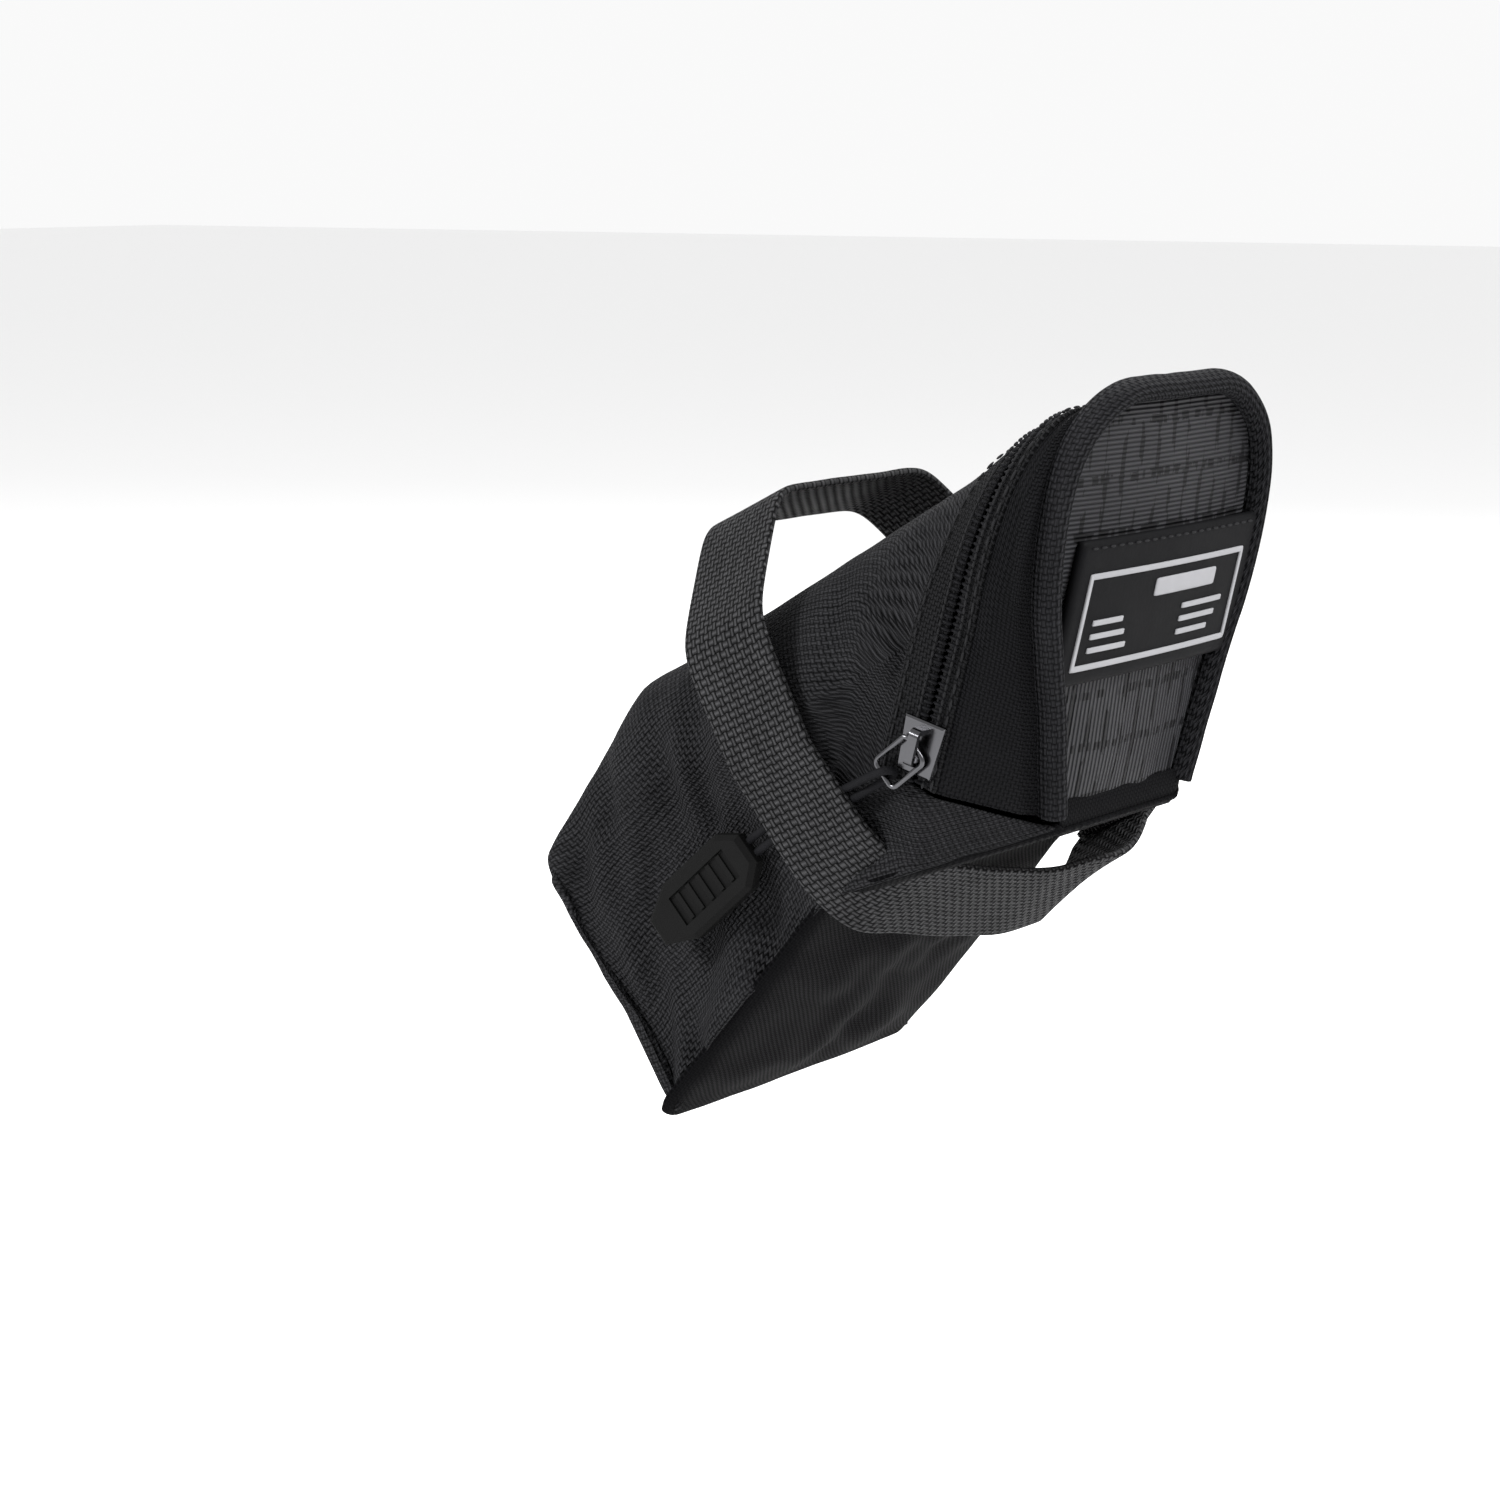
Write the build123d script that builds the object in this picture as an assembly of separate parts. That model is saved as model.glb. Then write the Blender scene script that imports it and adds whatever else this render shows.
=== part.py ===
"""Bicycle saddle bag: a wedge-shaped zipped pouch that a hook-and-loop strap hangs under the saddle rails.

The bag is drawn in its own lengthwise frame, in millimetres: x runs from the front end towards the rear cap,
y to the rider's right, and z up through the bag's height. Every piece is then pitched and moved into the row
frame, whose origin is under the strap's top span, where the saddle rails bear.
"""

from build123d import *
from math import cos, hypot, radians, sin
import os

# Driving dimensions
WIDTH = 94.0
FRONT_HEIGHT = 58.0
SHOULDER = (30.0, 82.0)
TOP_SLOPE = 0.075
WAIST = (60.0, 26.0)
REAR_FOOT = (100.0, 20.6)
REAR_ANGLE = 55.0
TAPER_START = (80.0, 23.3)
TAPER_TOP = 80.0
FOOT_HALF_WIDTH = 30.0
WALL = 2.0
TOP_EDGE_RADIUS = 24.0
PITCH = 27.0

# Zipper
MOUTH_POINT = (94.0, 44.0)
MOUTH_ANGLE = 48.0
TAPE_REACH = 8.0
CAP_TAPE_REACH = 4.0
TAPE_THICKNESS = 0.8
COIL_WIDTH = 2.4
COIL_GAP = 1.0
COIL_ABOVE = 0.5
COIL_BELOW = 1.3
ZIP_START = -6.5
FOLD_UP_REAR = 2.0
SPLIT_GAP = 0.6

# Rear cap
PIPING_DEPTH = 4.5
PIPING_PROUD = 1.6
PIPING_WALL = 2.6
REAR_PANEL_THICKNESS = 2.4
REAR_PANEL_RECESS = 1.4
LABEL_SIZE = (66.0, 26.5)
LABEL_CENTRE_UP = 43.0
LABEL_THICKNESS = 1.4
LABEL_RIM = 2.0
LABEL_HEAD = 3.0
LABEL_LINE = 1.6
LABEL_RELIEF = 0.5

# Strap
STRAP_WIDTH = 20.0
STRAP_THICKNESS = 1.6
STRAP_FRONT = 53.0
STRAP_LEFT = WIDTH / 2 + 2.2
STRAP_RIGHT = WIDTH / 2 + 0.6
STRAP_BOTTOM = 22.3
RAIL_TOP = 104.0
RAIL_HALF_SPAN = 27.0
TAIL_ROOT = 55.0
TAIL_GAP = 0.4
TAIL_REACH = 80.0
TAIL_SLOPE = 0.19
HOOK_THICKNESS = 0.9
HOOK_CLEARANCE = 0.1
KEEPER_HEIGHTS = (42.0, 54.0)

# Slider and puller
SLIDER_LENGTH = 10.5
SLIDER_WIDTH = 9.0
SLIDER_UP = 0.5
SLIDER_TRAVEL = 21.5
PLATE = 1.2
PLATE_CLEARANCE = 0.3
BRIDGE_WIDTH = 2.0
BRIDGE_HEIGHT = 3.0
RING_LIFT = 1.0
RING_LENGTH = 9.0
RING_WIDTH = 6.4
RING_WIRE = 1.1
PULL_DROP = 12.0
CORD_DIAMETER = 1.6
CORD_SPACING = 2.8
CORD_OFF_PANEL = 1.15
CORD_ROUND_BAR = 1.5
TAB_LENGTH = 29.0
TAB_WIDTH = 13.0
TAB_THICKNESS = 3.6
TAB_START = 50.0
TAB_HEIGHT = 41.0
TAB_TILT = 15.0
TAB_OFF_PANEL = 0.4


def along(angle):
    """Unit vector in the bag's side plane at an angle above its length."""
    return Vector(cos(radians(angle)), 0, sin(radians(angle)))


def side_plane(point, angle):
    """Plane across the bag whose own y runs at the angle and whose z faces the rear."""
    facing = Vector(sin(radians(angle)), 0, -cos(radians(angle)))
    return Plane(origin=(point[0], 0, point[1]), x_dir=(0, 1, 0), z_dir=facing)


REAR = side_plane(REAR_FOOT, REAR_ANGLE)
MOUTH = side_plane(MOUTH_POINT, MOUTH_ANGLE)


def top_height(x):
    """Height of the top panel's line over the bag's length."""
    return SHOULDER[1] + TOP_SLOPE * (x - SHOULDER[0])


def rear_corners(out=0.0):
    """Where the rear plane, moved out by some distance, meets the base line and the top line."""
    run, rise = cos(radians(REAR_ANGLE)), sin(radians(REAR_ANGLE))
    x, z = REAR_FOOT[0] + out * rise, REAR_FOOT[1] - out * run
    base_slope = (REAR_FOOT[1] - WAIST[1]) / (REAR_FOOT[0] - WAIST[0])
    down = (WAIST[1] + base_slope * (x - WAIST[0]) - z) / (rise - base_slope * run)
    up = (top_height(x) - z) / (rise - TOP_SLOPE * run)
    return (x + run * down, z + rise * down), (x + run * up, z + rise * up)


def block(x0, x1, y0, y1, z0, z1):
    """Box between two corners."""
    return Pos((x0 + x1) / 2, (y0 + y1) / 2, (z0 + z1) / 2) * Box(x1 - x0, y1 - y0, z1 - z0)


def slab(plane, low, high, up_from=-300.0, up_to=300.0, half_width=150.0):
    """Block given in a side plane's own height and facing distances."""
    centre = Pos(0, (up_from + up_to) / 2, (low + high) / 2)
    return plane * centre * Box(2 * half_width, up_to - up_from, high - low)


def side_extrusion(points, half):
    """Solid with a side-view outline, as wide as twice half."""
    outline = make_face(Polyline(*[(x, 0, z) for x, z in points], close=True))
    return extrude(outline, half, dir=(0, 1, 0), both=True)


def taper_waste(side, grow):
    """What is cut away beside the bag so that it narrows towards the rear panel's foot."""
    start = Vector(TAPER_START[0], side * WIDTH / 2, TAPER_START[1])
    crown = REAR.from_local_coords(Vector(side * WIDTH / 2, TAPER_TOP, 0))
    foot = REAR.from_local_coords(Vector(side * FOOT_HALF_WIDTH, 0, 0))
    out = (foot - start).cross(crown - start).normalized()
    if out.Y * side < 0:
        out = -out
    return Plane(origin=start + out * grow, z_dir=out) * Pos(0, 0, 200) * Box(900, 900, 400)


def envelope(grow, rear_out=0.0):
    """The bag's outer shape, grown or shrunk by an even distance, and longer or not at the rear."""
    foot, crown = rear_corners(rear_out)
    points = [(0, 0), (0, FRONT_HEIGHT), SHOULDER, crown, foot, WAIST]
    outline = make_face(Polyline(*[(x, 0, z) for x, z in points], close=True))
    if grow:
        outline = offset(outline, grow, kind=Kind.INTERSECTION)
    body = extrude(outline, WIDTH / 2 + grow, dir=(0, 1, 0), both=True)
    top_edges = []
    for edge in body.edges():
        middle = edge.center()
        lengthwise = abs(edge.start_point().Y - edge.end_point().Y) < 0.01
        on_top = middle.Z > FRONT_HEIGHT + 2 and abs(middle.Z - top_height(middle.X) - grow) < 4
        if lengthwise and on_top:
            top_edges.append(edge)
    rounded = fillet(top_edges, TOP_EDGE_RADIUS + grow)
    return rounded - taper_waste(1, grow) - taper_waste(-1, grow)


OUTER = envelope(0)
INNER = envelope(-WALL)
SHELL = OUTER - INNER
RING_CORE = envelope(-PIPING_WALL, rear_out=20.0)


def cap_zone(grow):
    """Region of the rear cap: behind the mouth and above its fold line."""
    end = MOUTH.from_local_coords(Vector(0, ZIP_START, 0))
    fold = REAR.from_local_coords(Vector(0, FOLD_UP_REAR, 0))
    beyond = fold + (fold - end).normalized() * 40
    top = end + along(MOUTH_ANGLE) * 130
    points = [(end.X, end.Z), (top.X, top.Z), (260, 190), (260, beyond.Z), (beyond.X, beyond.Z)]
    outline = make_face(Polyline(*[(x, 0, z) for x, z in points], close=True))
    outline = offset(outline, grow, kind=Kind.INTERSECTION)
    return extrude(outline, 100, dir=(0, 1, 0), both=True)


def zip_slab(low, high):
    """Slab beside the mouth plane, from the zipper's lower ends upwards."""
    return slab(MOUTH, low, high, up_from=ZIP_START)


CAP_ZONE = cap_zone(-SPLIT_GAP / 2)
BODY_CUT = cap_zone(SPLIT_GAP / 2)


# Pouch -------------------------------------------------------------------------------------------------------


def pouch_wall():
    """The pouch's wall, open at the mouth and short of the zipper tape."""
    return SHELL - BODY_CUT - zip_slab(-TAPE_REACH, 0)


def pouch_panels():
    """Five cut panels: two sides, top, base and front end."""
    wall = pouch_wall()
    inside = WIDTH / 2 - WALL
    front = block(-1, WALL, -50, 50, -20, 120)
    rest = wall - front
    middle = block(-10, 260, -inside, inside, -30, 200)
    split = side_extrusion([(-5, 40), (200, 60), (260, 60), (260, 200), (-5, 200)], 60)
    panels = {
        "front_panel": wall & front,
        "left_side_panel": rest & block(-10, 260, -60, -inside, -30, 200),
        "right_side_panel": rest & block(-10, 260, inside, 60, -30, 200),
        "top_panel": (rest & middle) & split,
        "base_panel": (rest & middle) - split,
    }
    return panels


def base_stiffener():
    """Folded board that keeps the base flat, just inside the base panel."""
    lift = WALL + 0.1
    board = 1.2
    points = [(4.0, 6.0), (58.0, 29.4), (80.0, 26.0), (80.0, 26.0 + board), (58.0, 29.4 + board), (4.0, 6.0 + board)]
    raised = [(x, z + lift - WALL) for x, z in points]
    return side_extrusion(raised, WIDTH / 2 - 9)


def inner_pocket():
    """Mesh pocket stitched to the right side panel's inside."""
    y = WIDTH / 2 - WALL
    pocket = block(26, 66, y - 3.0, y - 0.1, 32, 47)
    room = block(27, 65, y - 2.2, y - 0.6, 33, 48)
    return pocket - room


# Zipper ------------------------------------------------------------------------------------------------------


def zip_band(low, high, grow_out, grow_in):
    """U-shaped band round the mouth, between two facing distances and two depths."""
    return (envelope(grow_out) - envelope(grow_in)) & zip_slab(low, high)


def zipper():
    """Two tapes and two coils, and the stops that end them."""
    near, far = COIL_GAP / 2, COIL_GAP / 2 + COIL_WIDTH
    lower = block(-10, 260, -100, 100, -30, MOUTH_POINT[1] - 20)
    pieces = {
        "body_zipper_tape": zip_band(-TAPE_REACH, -far, 0, -TAPE_THICKNESS) - lower,
        "cap_zipper_tape": zip_band(far, CAP_TAPE_REACH, 0, -TAPE_THICKNESS) - lower,
        "body_zipper_coil": zip_band(-far, -near, COIL_ABOVE, -COIL_BELOW) - lower,
        "cap_zipper_coil": zip_band(near, far, COIL_ABOVE, -COIL_BELOW) - lower,
    }
    pieces["cap_zipper_tape"] &= CAP_ZONE
    pieces["cap_zipper_coil"] &= CAP_ZONE
    return pieces


# Rear cap ----------------------------------------------------------------------------------------------------


def cap_gusset():
    """Strip round the cap, from the zipper tape to the piping."""
    strip = (SHELL & CAP_ZONE) - zip_slab(-TAPE_REACH, CAP_TAPE_REACH) - slab(REAR, -PIPING_DEPTH, 60)
    return strip - slider_plane() * block(-6.5, 5.2, -8.5, SLIDER_TRAVEL + 8.5, -6, 6)


def cap_piping():
    """Rolled edge round the rear panel."""
    ring = envelope(PIPING_PROUD) - RING_CORE
    return (ring & CAP_ZONE) & slab(REAR, -PIPING_DEPTH, PIPING_PROUD, up_from=FOLD_UP_REAR + 1)


def rear_panel():
    """Flat panel inside the piping, above the fold."""
    low = -REAR_PANEL_RECESS - REAR_PANEL_THICKNESS
    return RING_CORE & slab(REAR, low, -REAR_PANEL_RECESS, up_from=FOLD_UP_REAR + 1)


def label():
    """Moulded label: backing, raised border and plain raised bars."""
    base = -REAR_PANEL_RECESS + 0.05
    face = base + LABEL_THICKNESS
    seat = REAR * Pos(0, LABEL_CENTRE_UP, 0)
    width, height = LABEL_SIZE
    backing = seat * Pos(0, 0, (base + face) / 2) * Box(width, height, LABEL_THICKNESS)
    inner_width, inner_height = width - 2 * LABEL_RIM, height - 2 * LABEL_RIM - LABEL_HEAD
    rim = Rectangle(inner_width, inner_height)
    rim -= Rectangle(inner_width - 2 * LABEL_LINE, inner_height - 2 * LABEL_LINE)
    frame_seat = seat * Pos(0, -LABEL_HEAD / 2, face)
    border = frame_seat * extrude(rim, LABEL_RELIEF)
    bars = []
    for row in range(3):
        for side, length in ((-1, 15.0 - 2 * row), (1, 13.0 + 1.5 * row)):
            bar = Pos(side * 16.0, -0.6 - 2.5 * row, LABEL_RELIEF / 2) * Box(length, 1.2, LABEL_RELIEF)
            bars.append(frame_seat * bar)
    emblem = frame_seat * Pos(3.0, 4.6, LABEL_RELIEF / 2) * Box(24.0, 4.6, LABEL_RELIEF)
    return {
        "label_backing": backing,
        "label_border": border,
        "label_relief": Compound(children=[emblem, *bars]),
    }


# Strap -------------------------------------------------------------------------------------------------------


def tail_line(y):
    """Height of the face between the strap's two ends, along the tail."""
    return STRAP_BOTTOM + TAIL_SLOPE * max(0.0, y - WIDTH / 2)


def outer_line(points, radii, thickness):
    """The path moved to its right by the thickness, with the corner radii that keep it parallel."""
    headings = []
    for (y0, z0), (y1, z1) in zip(points, points[1:]):
        length = hypot(y1 - y0, z1 - z0)
        headings.append(((y1 - y0) / length, (z1 - z0) / length))
    moved = []
    new_radii = []
    for number, (y, z) in enumerate(points):
        before = headings[max(number - 1, 0)]
        after = headings[min(number, len(headings) - 1)]
        share = thickness / (1 + before[0] * after[0] + before[1] * after[1])
        moved.append((y + share * (before[1] + after[1]), z - share * (before[0] + after[0])))
        if 0 < number < len(points) - 1:
            turn = before[0] * after[1] - before[1] * after[0]
            new_radii.append(radii[number - 1] + (thickness if turn > 0 else -thickness))
    return moved, new_radii


def ribbon(points, radii, thickness=STRAP_THICKNESS, width=STRAP_WIDTH, front=STRAP_FRONT):
    """Flat band across the bag: its inner face follows the path, and it thickens outwards."""
    far_points, far_radii = outer_line(points, radii, thickness)
    if len(points) > 2:
        near = FilletPolyline(*points, radius=radii)
        far = FilletPolyline(*far_points, radius=far_radii)
    else:
        near = Polyline(*points)
        far = Polyline(*far_points)
    ends = [Line(near @ 0, far @ 0), Line(near @ 1, far @ 1)]
    band = extrude(make_face([*near.edges(), *far.edges(), *[end.edge() for end in ends]]), width)
    return Pos(front, 0, 0) * (Plane.YZ * band)


def strap_band():
    """The main strap: tail's upper layer, right side, over the rails, left side and under the base."""
    gap = HOOK_THICKNESS + 2 * HOOK_CLEARANCE
    shoulder = top_height(STRAP_FRONT) - 6
    points = [
        (TAIL_REACH, tail_line(TAIL_REACH) + gap),
        (STRAP_RIGHT, tail_line(STRAP_RIGHT) + gap),
        (STRAP_RIGHT, shoulder),
        (RAIL_HALF_SPAN, RAIL_TOP),
        (-RAIL_HALF_SPAN, RAIL_TOP),
        (-STRAP_LEFT, shoulder),
        (-STRAP_LEFT, STRAP_BOTTOM),
        (WIDTH / 2, STRAP_BOTTOM),
        (TAIL_ROOT, tail_line(TAIL_ROOT)),
    ]
    return ribbon(points, [3.0, 12.0, 9.0, 9.0, 12.0, 3.0, 6.0])


def strap_tail():
    """The lower layer's free end, which peels off the upper one, and its hook patch."""
    root = TAIL_ROOT + TAIL_GAP
    line = [(root, tail_line(root)), (TAIL_REACH, tail_line(TAIL_REACH))]
    lift = HOOK_THICKNESS + HOOK_CLEARANCE
    hook = [(root + 2, tail_line(root + 2) + lift), (TAIL_REACH - 1.5, tail_line(TAIL_REACH - 1.5) + lift)]
    patch = ribbon(hook, [], HOOK_THICKNESS, STRAP_WIDTH - 2, STRAP_FRONT + 1)
    return {"strap_tail": ribbon(line, []), "strap_hook_patch": patch}


def strap_keeper():
    """Webbing bridge on the right side panel that the strap runs through."""
    y = WIDTH / 2 + 0.05
    over = STRAP_RIGHT + STRAP_THICKNESS + 0.3
    middle = STRAP_FRONT + STRAP_WIDTH / 2
    reach = STRAP_WIDTH / 2 + 5
    low, high = KEEPER_HEIGHTS
    bridge = block(middle - reach, middle + reach, y, over + 0.9, low, high)
    room = block(middle - reach + 4, middle + reach - 4, y - 1, over, low - 1, high + 1)
    return bridge - room


# Slider and puller -------------------------------------------------------------------------------------------


def slider_plane():
    """Plane on the left side panel at the slider: x towards the cap, y up the zipper, z outwards."""
    spot = MOUTH.from_local_coords(Vector(0, SLIDER_UP, 0))
    return Plane(origin=(spot.X, -WIDTH / 2, spot.Z), x_dir=MOUTH.z_dir, z_dir=(0, -1, 0))


def slider_body():
    """Cast slider: two plates joined by a wedge between the coils, with flanges over the body-side coil."""
    top, bottom = COIL_ABOVE + PLATE_CLEARANCE, -COIL_BELOW - PLATE_CLEARANCE
    half, length = SLIDER_WIDTH / 2, SLIDER_LENGTH / 2
    outline = Polygon((-half, length), (half, length), (half - 0.8, -length), (0.8 - half, -length), align=None)
    upper = Pos(0, 0, top) * extrude(outline, PLATE, dir=(0, 0, 1))
    upper = chamfer(upper.faces().sort_by(Axis.Z)[-1].edges(), 0.35)
    lower = Pos(0, 0, bottom - PLATE) * extrude(outline, PLATE, dir=(0, 0, 1))
    wedge = block(-0.25, 0.25, length - 4.0, length - 0.8, bottom - 0.2, top + 0.2)
    lip = block(0.5 - half, 1.1 - half, -length + 0.6, length - 0.6, top - 0.5, top + 0.2)
    low_lip = block(0.5 - half, 1.1 - half, -length + 0.6, length - 0.6, bottom - 0.2, bottom + 0.4)
    return slider_plane() * (upper + lower + wedge + lip + low_lip)


def slider_bridge():
    """Arch on the slider's top plate that the pull ring hangs from."""
    base = COIL_ABOVE + PLATE_CLEARANCE + PLATE
    outer = block(-BRIDGE_WIDTH / 2, BRIDGE_WIDTH / 2, -3.3, 4.0, base, base + BRIDGE_HEIGHT)
    arch = fillet(outer.edges().filter_by(Axis.X).group_by(Axis.Z)[-1], 1.4)
    hole = block(-BRIDGE_WIDTH, BRIDGE_WIDTH, -2.4, 2.9, base - 1, base + BRIDGE_HEIGHT - 1.0)
    return slider_plane() * (arch - hole)


def pull_axis_point():
    """Centre of the ring's bar inside the bridge."""
    return slider_plane().from_local_coords(Vector(0, 0, COIL_ABOVE + PLATE_CLEARANCE + PLATE + RING_LIFT))


def pull_plane():
    """Plane of the pull ring: x from the bridge towards the tab, y along the ring's bar, z to the bag."""
    drop = Vector(-cos(radians(PULL_DROP)), 0, -sin(radians(PULL_DROP)))
    return Plane(origin=pull_axis_point(), x_dir=drop, z_dir=(0, 1, 0))


def pull_ring():
    """Wire ring through the bridge."""
    half = RING_WIDTH / 2
    path = Polyline((0, -half), (RING_LENGTH, -half), (RING_LENGTH, half), (0, half), close=True)
    rounded = fillet(make_face(path).vertices(), 1.2)
    rim = Wire(rounded.face().outer_wire().edges())
    start = Plane(origin=rim @ 0, z_dir=rim % 0)
    return pull_plane() * sweep(start * Circle(RING_WIRE / 2), path=rim)


def cord_route():
    """Points of the looped cord: out of the tab's end, round the ring's far bar, and back."""
    ring_y = pull_axis_point().Y
    under = -(WIDTH / 2 + CORD_OFF_PANEL)
    spread = CORD_SPACING / 2
    run, rise = cos(radians(TAB_TILT)), sin(radians(TAB_TILT))
    bar = pull_plane().from_local_coords(Vector(RING_LENGTH, 0, 0))
    strand = []
    for side in (1, -1):
        root = (TAB_START - rise * spread * side, under, TAB_HEIGHT + run * spread * side)
        lead = (root[0] + 5 * run, under, root[2] + 5 * rise)
        past = (STRAP_FRONT + STRAP_WIDTH + 1, under, bar.Z - 0.3 + spread * 0.9 * side)
        beside = (bar.X - 1.0, ring_y - CORD_ROUND_BAR * side, bar.Z + spread * 0.6 * side)
        turn = (bar.X + 2.2, ring_y - CORD_ROUND_BAR * side, bar.Z + spread * 0.3 * side)
        strand.append([root, lead, past, beside, turn])
    return strand[0] + strand[1][::-1]


def puller_cord():
    """The cord loop between the ring and the tab."""
    route = cord_route()
    path = FilletPolyline(*route, radius=[8.0, 14.0, 2.0, 1.15, 1.15, 2.0, 14.0, 8.0])
    wire = Wire(path.edges())
    start = Plane(origin=wire @ 0, z_dir=wire % 0)
    cord = sweep(start * Circle(CORD_DIAMETER / 2), path=wire)
    print("cord length", round(wire.length, 1), "section times length",
          round(wire.length * 3.14159 * CORD_DIAMETER**2 / 4, 1), "volume", round(cord.volume, 1))
    return cord


def puller_tab():
    """Moulded rubber tab: a long hexagon with a bevelled rim and a ribbed grip."""
    half = TAB_WIDTH / 2
    outline = Polygon(
        (0, half * 0.5), (4.5, half), (TAB_LENGTH - 7.5, half), (TAB_LENGTH, half * 0.45),
        (TAB_LENGTH, -half * 0.45), (TAB_LENGTH - 7.5, -half), (4.5, -half), (0, -half * 0.5), align=None,
    )
    body = extrude(outline, TAB_THICKNESS, dir=(0, 0, 1))
    body = chamfer(body.faces().sort_by(Axis.Z)[-1].edges(), 1.0)
    body = chamfer(body.faces().sort_by(Axis.Z)[0].edges(), 0.4)
    pad = Pos(4.5 + (TAB_LENGTH - 12) / 2, 0, TAB_THICKNESS) * Box(TAB_LENGTH - 12, TAB_WIDTH - 6.4, 1.2)
    body -= pad
    for step in range(5):
        rib = Pos(6.5 + step * 3.2, 0, TAB_THICKNESS - 0.4) * Box(1.1, TAB_WIDTH - 7.2, 0.6)
        body += rib
    plane = Plane(
        origin=(TAB_START, -(WIDTH / 2 + TAB_OFF_PANEL), TAB_HEIGHT),
        x_dir=(-cos(radians(TAB_TILT)), 0, -sin(radians(TAB_TILT))),
        z_dir=(0, -1, 0),
    )
    return plane * body


def place(shape):
    """From the bag's own frame to the row frame."""
    tilt = Location((0, 0, 0), (0, -PITCH, 0))
    rail = Location((-(STRAP_FRONT + STRAP_WIDTH / 2), 0, -RAIL_TOP))
    return tilt * rail * shape


def row_point(point):
    """A point of the bag's own frame, in row metres."""
    spot = place(Vertex(point.X, point.Y, point.Z)).center()
    return [round(value / 1000, 6) for value in (spot.X, spot.Y, spot.Z)]


def main():
    os.makedirs("parts", exist_ok=True)
    pieces = {}
    pieces.update(pouch_panels())
    pieces.update(zipper())
    pieces.update(label())
    pieces.update(strap_tail())
    makers = [
        cap_gusset, cap_piping, rear_panel, base_stiffener, inner_pocket, strap_band, strap_keeper,
        slider_body, slider_bridge, pull_ring, puller_cord, puller_tab,
    ]
    for make in makers:
        pieces[make.__name__] = make()
    for name, shape in pieces.items():
        export_step(place(shape), f"parts/{name}.step")
    fold = REAR.from_local_coords(Vector(0, FOLD_UP_REAR, 0))
    print("fold hinge", row_point(fold), "swing hinge", row_point(pull_axis_point()))
    print("tail hinge", row_point(Vector(STRAP_FRONT, TAIL_ROOT + TAIL_GAP / 2, tail_line(TAIL_ROOT) - STRAP_THICKNESS)))


main()
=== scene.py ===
# %% [markdown]
# # A saddle bag, piece by piece
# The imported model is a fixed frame: every soft piece below is drawn over the solid it replaces, in the same
# place. The bag is easiest to think about in its own lengthwise frame, so the numbers here are u (front end to
# rear), y (rider's right) and v (height), in millimetres; one function turns them into the shared frame.

# %% Load the frame
import bmesh
import bpy
import math
import numpy as np
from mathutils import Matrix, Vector, noise


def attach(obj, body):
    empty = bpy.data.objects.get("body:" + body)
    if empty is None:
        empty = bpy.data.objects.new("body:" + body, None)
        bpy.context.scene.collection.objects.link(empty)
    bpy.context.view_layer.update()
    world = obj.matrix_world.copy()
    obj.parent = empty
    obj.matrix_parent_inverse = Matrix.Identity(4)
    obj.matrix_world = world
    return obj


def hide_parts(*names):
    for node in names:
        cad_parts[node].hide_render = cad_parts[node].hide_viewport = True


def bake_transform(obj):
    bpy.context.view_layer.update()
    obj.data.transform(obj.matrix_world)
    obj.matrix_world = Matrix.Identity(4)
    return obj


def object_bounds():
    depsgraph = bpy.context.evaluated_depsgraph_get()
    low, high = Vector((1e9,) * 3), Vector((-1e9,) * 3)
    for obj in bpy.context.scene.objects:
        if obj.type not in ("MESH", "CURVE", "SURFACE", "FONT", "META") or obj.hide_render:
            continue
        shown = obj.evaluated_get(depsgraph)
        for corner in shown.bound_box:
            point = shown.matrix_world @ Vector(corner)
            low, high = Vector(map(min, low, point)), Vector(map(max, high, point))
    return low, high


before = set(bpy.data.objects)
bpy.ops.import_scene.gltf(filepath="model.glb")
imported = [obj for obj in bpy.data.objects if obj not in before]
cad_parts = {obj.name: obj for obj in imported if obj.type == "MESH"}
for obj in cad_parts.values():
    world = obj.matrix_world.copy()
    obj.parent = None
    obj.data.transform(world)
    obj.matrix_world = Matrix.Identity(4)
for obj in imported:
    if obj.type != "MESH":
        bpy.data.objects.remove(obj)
cad_low, cad_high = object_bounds()

# %% [markdown]
# ## From the bag's frame to the shared frame
# The bag hangs pitched 27 degrees up towards the rear, with the shared origin under the strap's top span.

# %% Turn lengthwise millimetres into metres
PITCH = math.radians(27)


def placed(points):
    """Points (u, y, v) of the bag's own frame, as shared-frame metres."""
    p = np.asarray(points, float)
    du, dv = p[..., 0] - 63.0, p[..., 2] - 104.0
    x = du * math.cos(PITCH) - dv * math.sin(PITCH)
    z = du * math.sin(PITCH) + dv * math.cos(PITCH)
    return np.stack([x, p[..., 1], z], -1) / 1000.0


def spot(u, y, v):
    return Vector(placed([u, y, v]).tolist())


print("rear foot sits at", tuple(round(c, 4) for c in spot(100, 0, 20.6)))

# %% [markdown]
# ## Camera, floor and light
# A longish lens from the bag's left rear, a little above it. The floor is pale and plain, and three big soft
# lamps give dark cloth the broad highlights that show its weave.

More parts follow.
